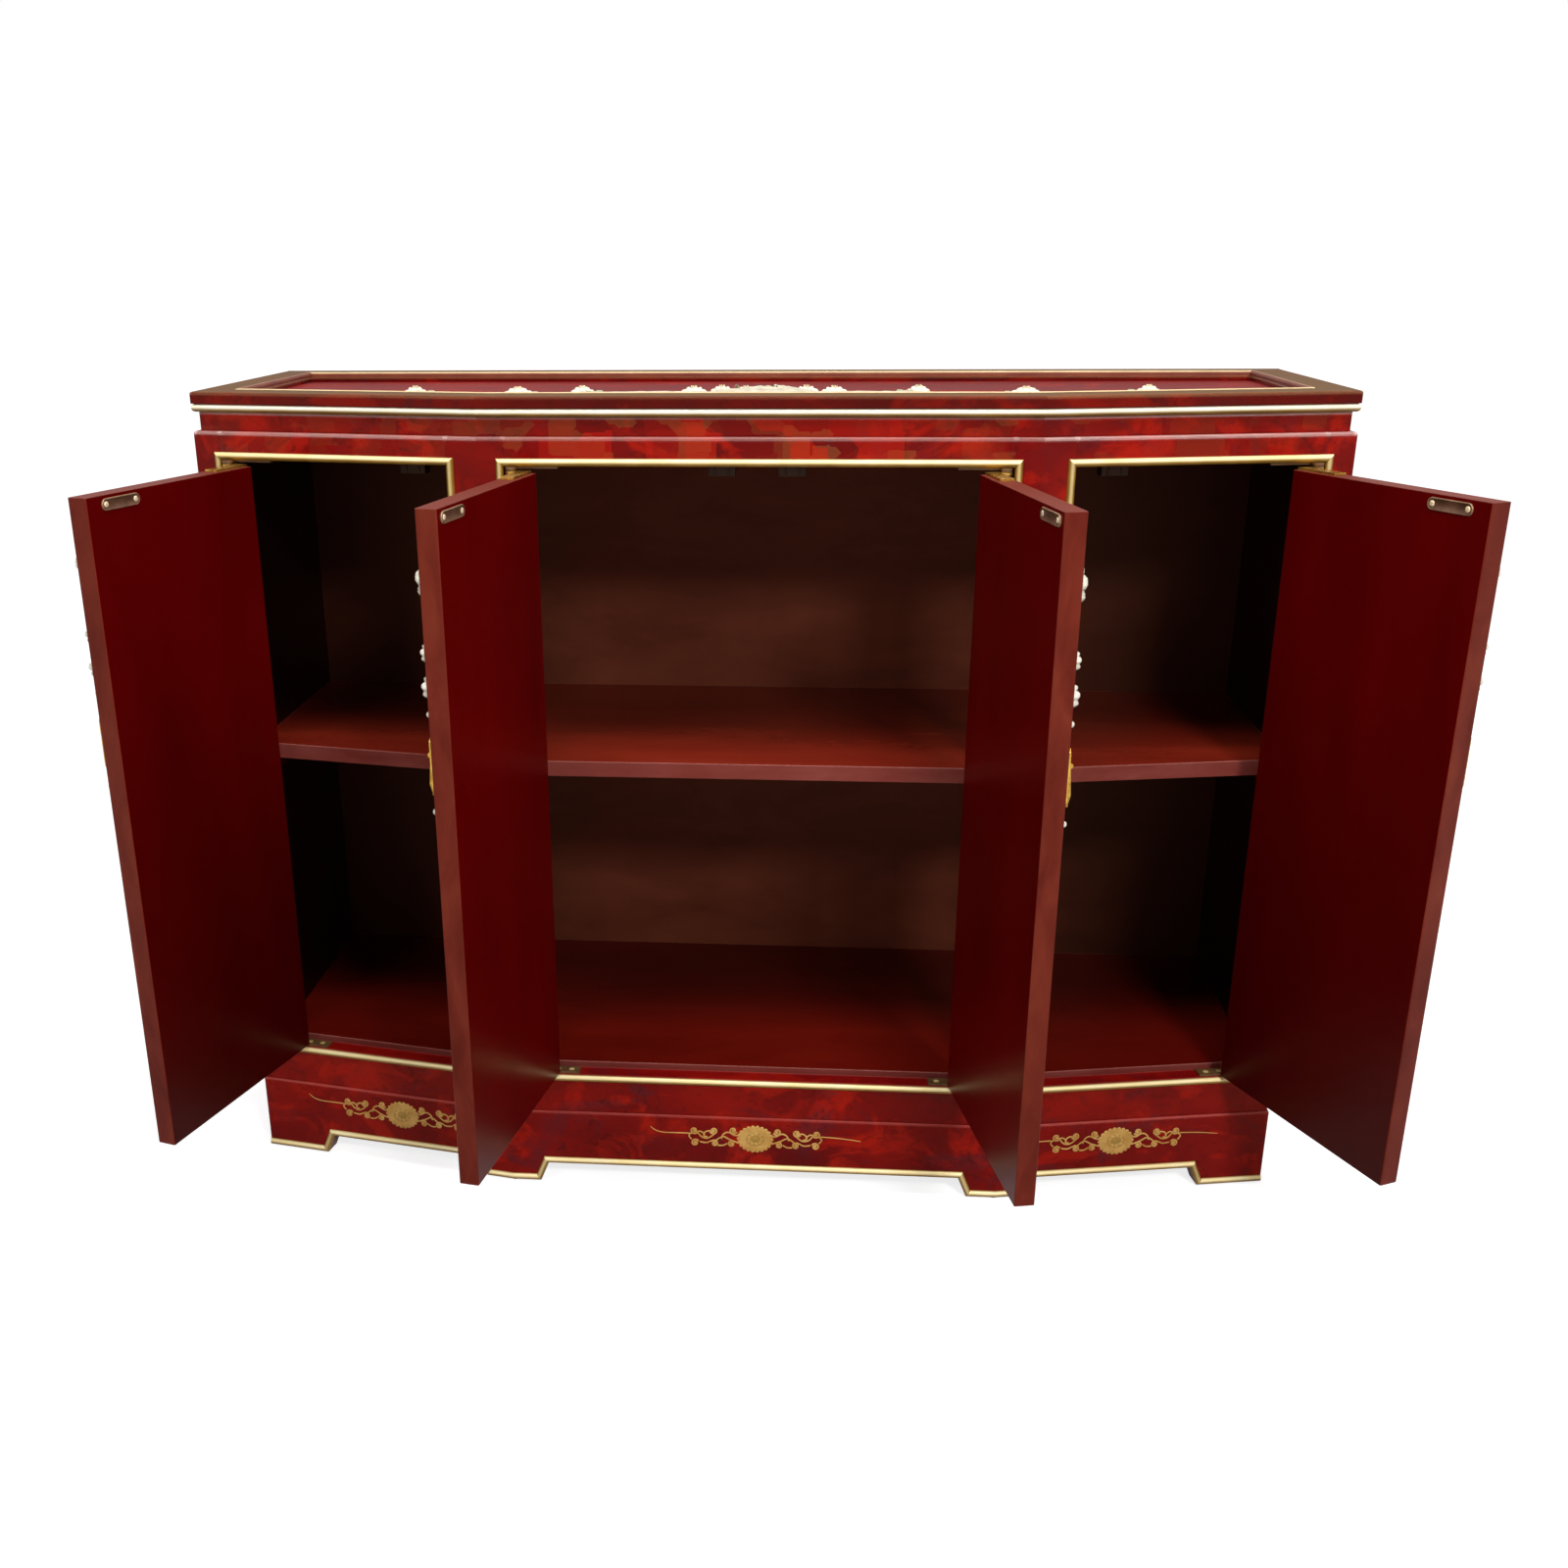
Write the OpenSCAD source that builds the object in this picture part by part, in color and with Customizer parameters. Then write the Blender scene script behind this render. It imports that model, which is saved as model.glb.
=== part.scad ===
// Slant front cabinet: four lacquered doors on a canted front, a framed top and a bracket plinth.
// Millimetres. The back plane is y = 0, the floor is z = 0 and the front looks towards -Y.
// The doors stand open, as the cabinet is shown.

/* [Overall] */
// Width over the two straight sides
cab_w = 1220; // [1120:1:1320]
// Height from the floor to the top rim
cab_h = 921.5; // [860:0.5:1000]
// Depth at the central front
front_d = 393; // [375:1:420]
// Depth of the straight sides
side_d = 333; // [310:1:350]
// Width of the central front between the two breaks
mid_w = 578; // [540:1:620]

/* [Carcass] */
// Thickness of the side panels
side_t = 22; // [18:0.5:26]
// Thickness of the face frame
frame_t = 22; // [18:0.5:23]
// Width of the stile beside each outer door
stile_w = 31; // [26:0.5:40]
// Width of the corner post on the slanted front
post_slant_w = 34; // [28:0.5:44]
// Width of the corner post on the central front
post_mid_w = 28; // [22:0.5:40]
// Height of the top rails
top_rail_h = 29.5; // [24:0.5:44]
// Height of the bottom rails
bottom_rail_h = 49; // [40:0.5:60]
// Thickness of the bottom board
floor_t = 18; // [12:0.5:22]
// Rise of the bottom board above the ledge that it stops the doors on
floor_lip = 6.5; // [5:0.5:10]
// Gap between the bottom board's edge and the swing of the doors
stop_gap = 0.7; // [0.4:0.1:3]
// Thickness of the board under the top
sub_top_t = 18; // [12:0.5:22]
// Depth of the housings that carry the boards in the sides
housing_d = 6; // [3:0.5:10]
// Thickness of the back panel
back_t = 6; // [4:0.5:9]
// Recess of the back panel from the back edges of the sides
back_recess = 3; // [1:0.5:6]
// Bearing of the back panel on each side's rebate
back_bearing = 10; // [6:0.5:14]
// Radius of the top arris of the carcass
carcass_arris = 3; // [1:0.5:5]

/* [Shelf] */
// Thickness of the shelf
shelf_t = 17.5; // [14:0.5:22]
// Height of the shelf's underside above the bottom board
shelf_rise = 352.5; // [250:0.5:450]
// Set-back of the shelf from the face frame
shelf_setback = 15; // [8:0.5:60]
// Gap at the shelf's ends and back
shelf_gap = 0.5; // [0.3:0.1:2]
// Height of the cleats under the shelf
cleat_h = 20; // [14:0.5:30]
// Thickness of the cleats
cleat_t = 16; // [10:0.5:22]
// Clear distance from a cleat's end to the panel or frame beyond it
cleat_end = 45; // [30:1:80]

/* [Plinth] */
// Height of the plinth boards
plinth_h = 94.5; // [80:0.5:110]
// Thickness of the plinth boards
plinth_t = 20; // [16:0.5:24]
// Projection of the plinth beyond the carcass
plinth_out = 2; // [1.5:0.5:6]
// Radius of the plinth's top arris
plinth_arris = 1.5; // [0.5:0.5:3]
// Height of the cut-outs between the feet
cut_h = 24.5; // [15:0.5:40]
// Run of each cut-out's slanted end
cut_slope = 10; // [6:0.5:20]
// Width of a foot at a break, each way
foot_break_w = 34; // [28:0.5:60]
// Width of a foot at a corner, each way
foot_corner_w = 80; // [60:0.5:100]
// Radius of the gilt bead along the plinth's lower edge
plinth_bead_r = 4; // [2.5:0.5:5]
// Leg of the glue blocks
block_leg = 40; // [25:1:60]
// Height of the glue blocks
block_h = 56; // [30:1:68]
// Height of the glides under the feet
glide_h = 3; // [2:0.5:6]
// Radius of the glides
glide_r = 8; // [5:0.5:8]

/* [Top] */
// Height of the recessed neck under the top
neck_h = 19.5; // [14:0.5:28]
// Recess of the neck
neck_in = 6.5; // [4:0.5:8]
// Thickness of the neck boards
neck_t = 18; // [14:0.5:22]
// Thickness of the top frame
top_t = 21; // [20:0.5:28]
// Width of the top frame's members
rim_w = 44; // [38:0.5:60]
// Depth of the recessed field below the rim
recess_d = 10.5; // [9:0.5:11]
// Thickness of the recessed panel
field_t = 8; // [5:0.5:8]
// Depth of the groove that holds the panel
groove_d = 6; // [4:0.5:9]
// Radius of the gilt bead under the rim's edge
edge_bead_r = 4.3; // [3:0.1:5]
// Radius of the gilt bead round the recess
inner_bead_r = 3; // [2:0.5:3.5]
// Stand of that bead above the rim
inner_bead_proud = 0.8; // [0:0.1:1.5]
// Radius of the rim's top arris
rim_arris = 2.5; // [1:0.5:4]

/* [Doors] */
// Thickness of the doors
door_t = 21.5; // [18:0.5:23]
// Radius of the doors' upright arrises
door_arris = 1.5; // [0.5:0.5:2.5]
// Gap beside the hinges of a closed door
hinge_gap = 1.5; // [1:0.1:2]
// Gap at the free edge of a closed outer door
free_gap = 2; // [1.8:0.1:4]
// Gap between the closed inner doors
meet_gap = 3; // [2.8:0.1:5]
// Radius of the gilt bead round each opening
bead_r = 4; // [3:0.5:4.5]
// Opening of the outer left door as shown, in degrees
open_outer_left = 96; // [0:1:110]
// Opening of the inner left door as shown, in degrees
open_inner_left = 100; // [0:1:110]
// Opening of the inner right door as shown, in degrees
open_inner_right = 101.5; // [0:0.5:110]
// Opening of the outer right door as shown, in degrees
open_outer_right = 105; // [0:1:110]

/* [Hinges] */
// Length of the hinge plates
leaf_l = 56; // [44:1:70]
// Width of the hinge plates
leaf_w = 14; // [13:0.5:16]
// Distance of a hinge plate's first screw from its inner end
leaf_screw_first = 26; // [22:1:32]
// Distance of a hinge plate's last screw from its inner end
leaf_screw_last = 10; // [8:1:12]
// Thickness of the hinge plates
leaf_t = 2.5; // [2:0.1:3.2]
// Set-back of the hinge plates behind the frame's face
leaf_back = 3; // [2.5:0.5:4]
// Distance of the pin from the opening's edge
pin_in = 8.5; // [8.3:0.1:9]
// Distance of the pin in front of the frame
pin_out = 3.5; // [3.2:0.1:4]
// Radius of the pin
pin_r = 2.5; // [1.5:0.1:2.6]
// Radial clearance of the pin in the door's plate
pin_fit = 0.05; // [0.02:0.01:0.1]
// Radius of the knuckle round the pin
lug_r = 5.5; // [5:0.1:6]
// Height of the boss that the door's plate turns on
boss_h = 1.3; // [1:0.1:2]
// Gap between the boss and the door's plate
boss_gap = 0.3; // [0.2:0.1:0.5]
// Stand of the pin past the door's plate
pin_over = 1.5; // [0:0.5:3]
// Radius of the screws' shanks
screw_r = 1.6; // [1:0.1:2]
// Radius of the screws' heads
head_r = 3.3; // [2.5:0.1:3.6]
// Depth of the countersunk heads
head_h = 1.7; // [1:0.1:1.9]
// Length of the screws' shanks below the head
shank_l = 9; // [5:0.5:14]
// Gap round a screw in its hole
screw_gap = 0.1; // [0.05:0.05:0.3]

/* [Fittings] */
// Length of the catches' strike plates
strike_l = 57; // [44:1:62]
// Width of the strike plates
strike_w = 14.5; // [12:0.5:16]
// Thickness of the strike plates
strike_t = 1.2; // [0.8:0.1:1.5]
// Drop of the strike plate's middle below the door's top
strike_drop = 9; // [8.5:0.5:14]
// Distance of an inner door's strike plate from its free edge, to the middle
strike_in_inner = 35; // [32:0.5:44]
// Distance of an outer door's strike plate from its free edge, to the middle
strike_in_outer = 47.5; // [32:0.5:60]
// Width of the magnetic catches
catch_w = 28; // [20:0.5:36]
// Depth of the magnetic catches
catch_d = 14; // [10:0.5:20]
// Overlap in height of a catch and its strike plate
catch_lap = 4; // [2:0.5:8]
// Thickness of a catch's two poles
catch_rib = 2; // [1.5:0.1:2.5]
// Gap between a catch and its strike plate
catch_gap = 0.5; // [0.3:0.1:1]
// Height of the pull plates
plate_h = 66.5; // [56:0.5:80]
// Width of the pull plates
plate_w = 29; // [24:0.5:36]
// Thickness of the pull plates
plate_t = 2; // [1.5:0.1:2.2]
// Distance of the pull plate from the door's free edge
plate_in = 2; // [1:0.5:6]
// Height of the pull plate's middle above the door's foot
plate_z = 453; // [380:1:540]
// Height of the drop pull's pin above the plate's middle
pull_up = 8; // [4:0.5:14]
// Distance of the drop pull's pin in front of the door
pull_out = 6; // [5.8:0.1:8]
// Radius of the drop pull's pin
pull_pin_r = 1.2; // [0.8:0.1:1.4]
// Radial clearance of the pin in the drop pull
pull_fit = 0.05; // [0.02:0.01:0.1]
// Width of the drop pull's eye
eye_w = 3.4; // [2.8:0.1:5]
// Radius of the drop pull's eye
eye_r = 2.8; // [2.4:0.1:3.2]
// Gap between the eye and each ear
ear_gap = 0.3; // [0.2:0.1:0.5]
// Thickness of the ears
ear_t = 2; // [1.6:0.1:3]
// Length of the drop pull below its pin
drop_l = 41.5; // [36:0.5:46]
// Radius of the drop pull's blade
drop_r = 6.5; // [5:0.1:8]
// Thickness of the drop pull's blade
drop_t = 2.6; // [2:0.1:2.7]
// Radius of the ball on the drop pull's blade
ball_r = 3.4; // [2.4:0.1:3.5]
// Distance of that ball below the pin
ball_z = 20.5; // [16:0.5:26]
// Radius of the bead that ends the drop pull
tip_r = 2; // [1.6:0.1:3]
// Radius of the pins that hold the pull plate
plate_pin_r = 1.2; // [0.8:0.1:1.5]
// Radius of those pins' heads
plate_pin_head_r = 2.4; // [2:0.1:2.8]
// Distance of those pins from the plate's ends
plate_pin_in = 6; // [5:0.5:8]

/* [Reliefs] */
// Thickness of the carved stone pieces on the doors
relief_t = 5; // [3:0.5:5]
// Thickness of the carved stone pieces on the top
top_relief_t = 4.5; // [3:0.5:6]
// Thickness of the raised stone pieces on the top
top_peak_t = 8; // [6:0.5:9]
// Height of the rock that a door's branch grows from
rock_l = 110; // [80:1:130]
// Width of the branches
stem_w = 6; // [4:0.5:9]
// Sway of a door's branch, each way
door_sway = 34; // [20:1:44]
// Length of the twigs on the doors
twig_l = 44; // [36:1:50]
// Length of the twigs on the top
top_twig_l = 52; // [44:1:60]
// Radius of the largest blossoms
blossom_r = 23; // [16:1:26]
// Length of the leaves
leaf_size = 30; // [22:1:34]
// Length of the birds, without the tail
bird_l = 50; // [40:1:58]

/* [Hidden] */
$fn = 48;
SIDES = ["outer_left", "inner_left", "inner_right", "outer_right"];
DOOR_KINDS = ["door", "hinge_leaves", "strike", "pull_plate", "drop_pull", "relief"];
FIXED = [
    "plinth_front", "plinth_slant_left", "plinth_slant_right", "plinth_side_left",
    "plinth_side_right", "plinth_back", "plinth_bead", "plinth_blocks", "glides",
    "bottom_board", "side_left", "side_right", "back_panel", "sub_top", "mid_shelf",
    "shelf_cleats", "stile_left", "stile_right", "post_left", "post_right",
    "top_rail_left", "top_rail_mid", "top_rail_right", "bottom_rail_left",
    "bottom_rail_mid", "bottom_rail_right", "opening_beads", "neck_frieze", "top_frame",
    "top_panel", "top_edge_bead", "top_inner_bead", "top_relief", "hinge_plates",
    "magnet_catches", "frame_screws"
];

red = "#8e100c";
dark_red = "#5a0806";
edge_red = "#7a342a";
ply = "#4a2418";
gilt = "#e2b64c";
brass = "#cfa548";
bronze = "#6b5636";
stone = "#efe3cf";
black = "#26211f";

half_w = cab_w / 2;
half_mid = mid_w / 2;
slant_dx = half_w - half_mid;
slant_dy = front_d - side_d;
slant_a = atan2(slant_dy, slant_dx);
slant_l = norm([slant_dx, slant_dy]);
z_plinth = glide_h + plinth_h;
z_ledge = z_plinth + bottom_rail_h;
z_neck = cab_h - top_t;
z_carcass = z_neck - neck_h;
z_open = z_carcass - top_rail_h;
z_floor = z_ledge + floor_lip;
z_shelf = z_floor + shelf_rise;
z_field = cab_h - recess_d;
back_in = back_recess + back_t;
mid_open = mid_w - 2 * post_mid_w;
slant_open = slant_l - stile_w - post_slant_w;
inner_door_w = (mid_open - 2 * hinge_gap - meet_gap) / 2;
outer_door_w = slant_open - hinge_gap - free_gap;
joint_h = leaf_t + boss_h + boss_gap;
door_z0 = z_ledge + joint_h;
door_z1 = z_open - joint_h - leaf_t;
swing_in = norm([pin_in - hinge_gap, door_t + pin_out]) - pin_out;
floor_setback = swing_in + stop_gap;
OPEN = [open_outer_left, open_inner_left, open_inner_right, open_outer_right];
screw_x = [leaf_l - leaf_screw_first, leaf_l - leaf_screw_last];
leaf_y = leaf_back + leaf_w / 2;
plate_z_mid = door_z0 + plate_z;
pull_z = plate_z_mid + pull_up;
strike_z = door_z1 - strike_drop;
catch_z = strike_z + strike_w / 2 - catch_lap;
past = 2;
mitre_gap = 0.05;
mitre_reach = 40;

function is_outer(k) = k == 0 || k == 3;
function is_right(k) = k > 1;
function door_w(k) = is_outer(k) ? outer_door_w : inner_door_w;
function free_x(k) = hinge_gap + door_w(k);
function strike_x(k) = free_x(k) - (is_outer(k) ? strike_in_outer : strike_in_inner);

// The plan is six points, from the back left corner round the front to the back right one.
// It is the carcass outline moved out by o along the front, by s at the sides, with its back at y.
function slant_y(x, o) = -front_d + (sin(slant_a) * (x - half_mid) - o) / cos(slant_a);
function break_x(o) = half_mid + o * tan(slant_a / 2);
function plan(o, s, y) = [
    [-half_w - s, y],
    [-half_w - s, slant_y(half_w + s, o)],
    [-break_x(o), -front_d - o],
    [break_x(o), -front_d - o],
    [half_w + s, slant_y(half_w + s, o)],
    [half_w + s, y]
];
function open_plan(o) = plan(o, o, 0);
function closed_plan(o) = plan(o, o, o);
function unit(v) = v / norm(v);
function wrap(i) = (i + 6) % 6;

// Mitred stretch i of a wall between two plans, drawn in at each end by a joint's half width
module stretch(i, inner, outer, z0, z1, joint = 0)
    let (j = wrap(i + 1), shift = joint * unit(outer[j] - outer[i]))
        translate([0, 0, z0])
            linear_extrude(z1 - z0)
                polygon([inner[i] + shift, inner[j] - shift, outer[j] - shift, outer[i] + shift]);

module slab(points, z0, z1)
    translate([0, 0, z0])
        linear_extrude(z1 - z0)
            polygon(points);

// Local frame on a wall: x runs along it, -y points out of it
module on_wall(p, q)
    translate([p.x, p.y, 0])
        rotate([0, 0, atan2(q.y - p.y, q.x - p.x)])
            children();

module side_of(right)
    mirror([right ? 1 : 0, 0, 0])
        children();

// Cutter that rounds the top arris along a wall's stretches
module arris_cut(points, z, r, stretches = [0:4])
    for (i = stretches)
        on_wall(points[i], points[wrap(i + 1)])
            translate([-2 * r, 0, 0])
                rotate([90, 0, 90])
                    linear_extrude(norm(points[wrap(i + 1)] - points[i]) + 4 * r)
                        difference() {
                            translate([-1, z - r])
                                square([r + 1, r + 1]);
                            translate([r, z - r])
                                circle(r);
                        }

module half_round(r)
    intersection() {
        circle(r);
        translate([-2 * r, -2 * r])
            square([2 * r, 4 * r]);
    }

// Point at distance w beside corner i of a line of points in a wall's plane
function beside(pts, i, w, closed) =
    let (n = len(pts),
         first = !closed && i == 0,
         last = !closed && i == n - 1,
         before = unit(pts[i] - pts[first ? i : (i + n - 1) % n] + (first ? pts[1] - pts[0] : [0, 0])),
         after = unit(last ? pts[i] - pts[i - 1] : pts[(i + 1) % n] - pts[i]),
         n1 = [-before.y, before.x],
         n2 = [-after.y, after.x])
    pts[i] + w * (n1 + n2) / (1 + n1 * n2);

// Half-round bead in mitred lengths, along points [x, z] on the face of a wall
module bead_run(pts, r, closed = false)
    let (n = len(pts))
        for (i = [0:closed ? n - 1 : n - 2])
            let (a = pts[i], b = pts[(i + 1) % n], j = (i + 1) % n, shift = mitre_gap * unit(b - a))
                intersection() {
                    translate([a.x, 0, a.y])
                        rotate([0, -atan2(b.y - a.y, b.x - a.x), 0])
                            translate([-3 * r, 0, 0])
                                rotate([90, 0, 90])
                                    linear_extrude(norm(b - a) + 6 * r)
                                        half_round(r);
                    rotate([90, 0, 0])
                        translate([0, 0, -1])
                            linear_extrude(r + 2)
                                polygon([
                                    beside(pts, i, -2 * r, closed) + shift,
                                    beside(pts, j, -2 * r, closed) - shift,
                                    beside(pts, j, 2 * r, closed) - shift,
                                    beside(pts, i, 2 * r, closed) + shift
                                ]);
                }

// Moulding along stretch i of a plan, mitred; the child is its section, x outwards, y up
module moulding(i, plan_in, plan_out, z0, z1)
    intersection() {
        on_wall(plan_out[i], plan_out[wrap(i + 1)])
            translate([-mitre_reach, 0, 0])
                rotate([90, 0, 90])
                    linear_extrude(norm(plan_out[wrap(i + 1)] - plan_out[i]) + 2 * mitre_reach)
                        mirror([1, 0])
                            children();
        stretch(i, plan_in, plan_out, z0, z1, mitre_gap);
    }

// Countersunk screw or pin, its head level with z = 0
module screw(r = screw_r, head = head_r, l = shank_l)
    union() {
        translate([0, 0, -head_h])
            cylinder(h = head_h, r1 = r, r2 = head);
        translate([0, 0, -head_h - l])
            cylinder(h = l, r = r);
    }

module screw_hole(r = screw_r, head = head_r, l = shank_l)
    union() {
        translate([0, 0, -head_h - screw_gap])
            cylinder(h = head_h + 2 * screw_gap, r1 = r + screw_gap, r2 = head + 2 * screw_gap);
        translate([0, 0, -head_h - l - screw_gap])
            cylinder(h = l + past, r = r + screw_gap);
    }

// Feet and cut-outs along a plinth face of length l, as the line of its lower edge
function foot_line(l, foot_a, foot_b) = [
    [foot_a, glide_h],
    [foot_a + cut_slope, glide_h + cut_h],
    [l - foot_b - cut_slope, glide_h + cut_h],
    [l - foot_b, glide_h]
];

function feet(i) =
    i == 2 ? [foot_break_w, foot_break_w]
    : i == 1 ? [foot_corner_w, foot_break_w]
    : i == 3 ? [foot_break_w, foot_corner_w]
    : [foot_corner_w, foot_corner_w];

plinth_face = open_plan(plinth_out);

module plinth_board(i)
    color(red)
        difference() {
            stretch(i, open_plan(plinth_out - plinth_t), plinth_face, glide_h, z_plinth);
            arris_cut(plinth_face, z_plinth, plinth_arris, [i]);
            on_wall(plinth_face[i], plinth_face[i + 1])
                rotate([90, 0, 0])
                    translate([0, 0, -plinth_t - past])
                        linear_extrude(plinth_t + 2 * past)
                            let (line = foot_line(norm(plinth_face[i + 1] - plinth_face[i]), feet(i)[0], feet(i)[1]))
                                polygon(concat(line, [
                                    line[3] + past * unit(line[3] - line[2]),
                                    line[0] + past * unit(line[0] - line[1])
                                ]));
        }

module plinth_back()
    color(ply)
        translate([-half_w - plinth_out + plinth_t, -plinth_t, 0])
            cube([2 * (half_w + plinth_out - plinth_t), plinth_t, z_plinth]);

// The bead crosses the front and the slants and ends level with the side boards' faces.
// Its middle runs its own radius above the plinth's lower edge.
module plinth_bead()
    color(gilt)
        for (i = [1:3])
            let (l = norm(plinth_face[i + 1] - plinth_face[i]),
                 line = foot_line(l, feet(i)[0], feet(i)[1]),
                 edge = concat([[-mitre_reach, glide_h]], line, [[l + mitre_reach, glide_h]]),
                 mid = [for (j = [0:5]) beside(edge, j, plinth_bead_r, false)])
                intersection() {
                    on_wall(plinth_face[i], plinth_face[i + 1])
                        bead_run(mid, plinth_bead_r);
                    stretch(i, plan(plinth_out - past, plinth_out, 0),
                        plan(plinth_out + 2 * plinth_bead_r, plinth_out, 0), 0, z_plinth, mitre_gap);
                }

module plinth_blocks()
    color(edge_red)
        let (q = plan(plinth_out - plinth_t, plinth_out - plinth_t, -plinth_t))
            translate([0, 0, z_plinth - block_h])
                linear_extrude(block_h)
                    for (right = [false, true])
                        mirror([right ? 1 : 0, 0]) {
                            polygon([q[0], q[0] + [block_leg, 0], q[0] - [0, block_leg]]);
                            polygon([q[1], q[1] + [0, block_leg], q[1] + block_leg * unit(q[2] - q[1])]);
                            polygon([
                                q[2] + block_leg * unit(q[1] - q[2]),
                                q[2],
                                q[2] + [block_leg, 0],
                                q[2] + [block_leg, block_leg / 2],
                                q[2] + block_leg * unit(q[1] - q[2]) + [0, block_leg / 2]
                            ]);
                        }

module glides()
    color(bronze)
        let (line = open_plan(plinth_out - plinth_t / 2))
            for (right = [false, true])
                side_of(right)
                    for (p = [line[0] - [0, foot_corner_w / 2], line[1] + [0, foot_corner_w / 4], line[2]])
                        translate([p.x, p.y, 0])
                            cylinder(h = glide_h, r1 = glide_r - 1, r2 = glide_r);

floor_plan = plan(-floor_setback, -side_t + housing_d, -back_in);
sub_top_plan = plan(-frame_t, -side_t + housing_d, -back_in);

module bottom_board()
    color(dark_red)
        difference() {
            slab(floor_plan, z_floor - floor_t, z_floor);
            back_screws()
                screw_hole(back_screw_r, back_head_r);
        }

module sub_top()
    color(dark_red)
        difference() {
            slab(sub_top_plan, z_carcass - sub_top_t, z_carcass);
            back_screws()
                screw_hole(back_screw_r, back_head_r);
        }

module side_panel()
    color(red)
        difference() {
            stretch(0, open_plan(-side_t), open_plan(0), z_plinth, z_carcass);
            arris_cut(open_plan(0), z_carcass, carcass_arris, [0]);
            slab(floor_plan, z_floor - floor_t, z_floor);
            slab(sub_top_plan, z_carcass - sub_top_t, z_carcass + past);
            translate([-half_w + side_t - back_bearing, -back_in, z_plinth - past])
                cube([back_bearing + past, back_in + past, z_carcass - z_plinth + 2 * past]);
            back_screws()
                screw_hole(back_screw_r, back_head_r);
        }

module back_panel()
    color(ply)
        translate([-half_w + side_t - back_bearing, -back_in, z_plinth])
            difference() {
                cube([2 * (half_w - side_t + back_bearing), back_t, z_carcass - z_plinth]);
                translate([half_w - side_t + back_bearing, back_in, -z_plinth])
                    back_screws()
                        screw_hole(back_screw_r, back_head_r);
            }

back_screw_r = 1.4;
back_head_r = 2.9;
back_screw_columns = 6;
back_screw_rows = 4;

// Screws of the back panel: into the boards along its foot and head, and up the two sides
module back_screws()
    translate([0, -back_recess, 0]) {
        for (i = [0:back_screw_columns - 1], z = [z_floor - floor_t / 2, z_carcass - sub_top_t / 2])
            translate([(i / (back_screw_columns - 1) - 0.5) * (cab_w - 4 * side_t), 0, z])
                rotate([-90, 0, 0])
                    children();
        for (i = [1:back_screw_rows], s = [-1, 1])
            translate([
                s * (half_w - side_t + back_bearing / 2),
                0,
                z_plinth + i * (z_carcass - z_plinth) / (back_screw_rows + 1)
            ])
                rotate([-90, 0, 0])
                    children();
    }

module mid_shelf()
    color(dark_red)
        slab(plan(-frame_t - shelf_setback, -side_t - shelf_gap, -back_in - shelf_gap), z_shelf, z_shelf + shelf_t);

module shelf_cleats()
    color(edge_red)
        translate([0, 0, z_shelf - cleat_h]) {
            for (right = [false, true])
                side_of(right)
                    translate([-half_w + side_t, -side_d + cleat_end, 0])
                        cube([cleat_t, side_d - 2 * cleat_end, cleat_h]);
            translate([-half_w + side_t + cleat_end, -back_in - cleat_t, 0])
                cube([cab_w - 2 * side_t - 2 * cleat_end, cleat_t, cleat_h]);
        }

// Points on the left slanted front, s along it from the outer corner, o outwards
slant_dir = unit([slant_dx, -slant_dy]);
slant_out = [-sin(slant_a), -cos(slant_a)];
function on_slant(s, o) = [-half_w, -side_d] + s * slant_dir + o * slant_out;

module stile()
    color(red)
        difference() {
            slab([open_plan(0)[1], on_slant(stile_w, 0), on_slant(stile_w, -frame_t), stile_heel],
                z_plinth, z_carcass);
            arris_cut(open_plan(0), z_carcass, carcass_arris, [1]);
        }

// Inner end of the mitre between a stile and its side panel
stile_heel = plan(-frame_t, -side_t, 0)[1];

module post()
    color(red)
        difference() {
            slab([
                on_slant(slant_l - post_slant_w, 0),
                open_plan(0)[2],
                [-mid_open / 2, -front_d],
                [-mid_open / 2, -front_d + frame_t],
                open_plan(-frame_t)[2],
                on_slant(slant_l - post_slant_w, -frame_t)
            ], z_plinth, z_carcass);
            arris_cut(open_plan(0), z_carcass, carcass_arris, [1, 2]);
        }

module slant_rail(z0, z1)
    slab([
        on_slant(stile_w, 0),
        on_slant(slant_l - post_slant_w, 0),
        on_slant(slant_l - post_slant_w, -frame_t),
        on_slant(stile_w, -frame_t)
    ], z0, z1);

module mid_rail(z0, z1)
    translate([-mid_open / 2, -front_d, z0])
        cube([mid_open, frame_t, z1 - z0]);

// Screw axes of the fixed hinge plates of one door: below it, or above it
module plate_screw_places(k, top)
    at_door(k)
        for (x = screw_x)
            translate([x, leaf_y, top ? z_open - leaf_t : z_ledge + leaf_t])
                rotate([top ? 180 : 0, 0, 0])
                    children();

module top_rail(doors)
    color(red)
        difference() {
            children();
            arris_cut(open_plan(0), z_carcass, carcass_arris, [1, 2, 3]);
            for (k = doors)
                plate_screw_places(k, true)
                    screw_hole();
        }

module bottom_rail(doors)
    color(red)
        difference() {
            children();
            for (k = doors)
                plate_screw_places(k, false)
                    screw_hole();
        }

function bead_frame(x0, x1) = [
    [x0 - bead_r, z_ledge - bead_r],
    [x1 + bead_r, z_ledge - bead_r],
    [x1 + bead_r, z_open + bead_r],
    [x0 - bead_r, z_open + bead_r]
];

module opening_beads()
    color(gilt) {
        on_wall(open_plan(0)[2], open_plan(0)[3])
            bead_run(bead_frame(post_mid_w, mid_w - post_mid_w), bead_r, true);
        for (right = [false, true])
            side_of(right)
                on_wall(open_plan(0)[1], open_plan(0)[2])
                    bead_run(bead_frame(stile_w, stile_w + slant_open), bead_r, true);
    }

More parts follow.
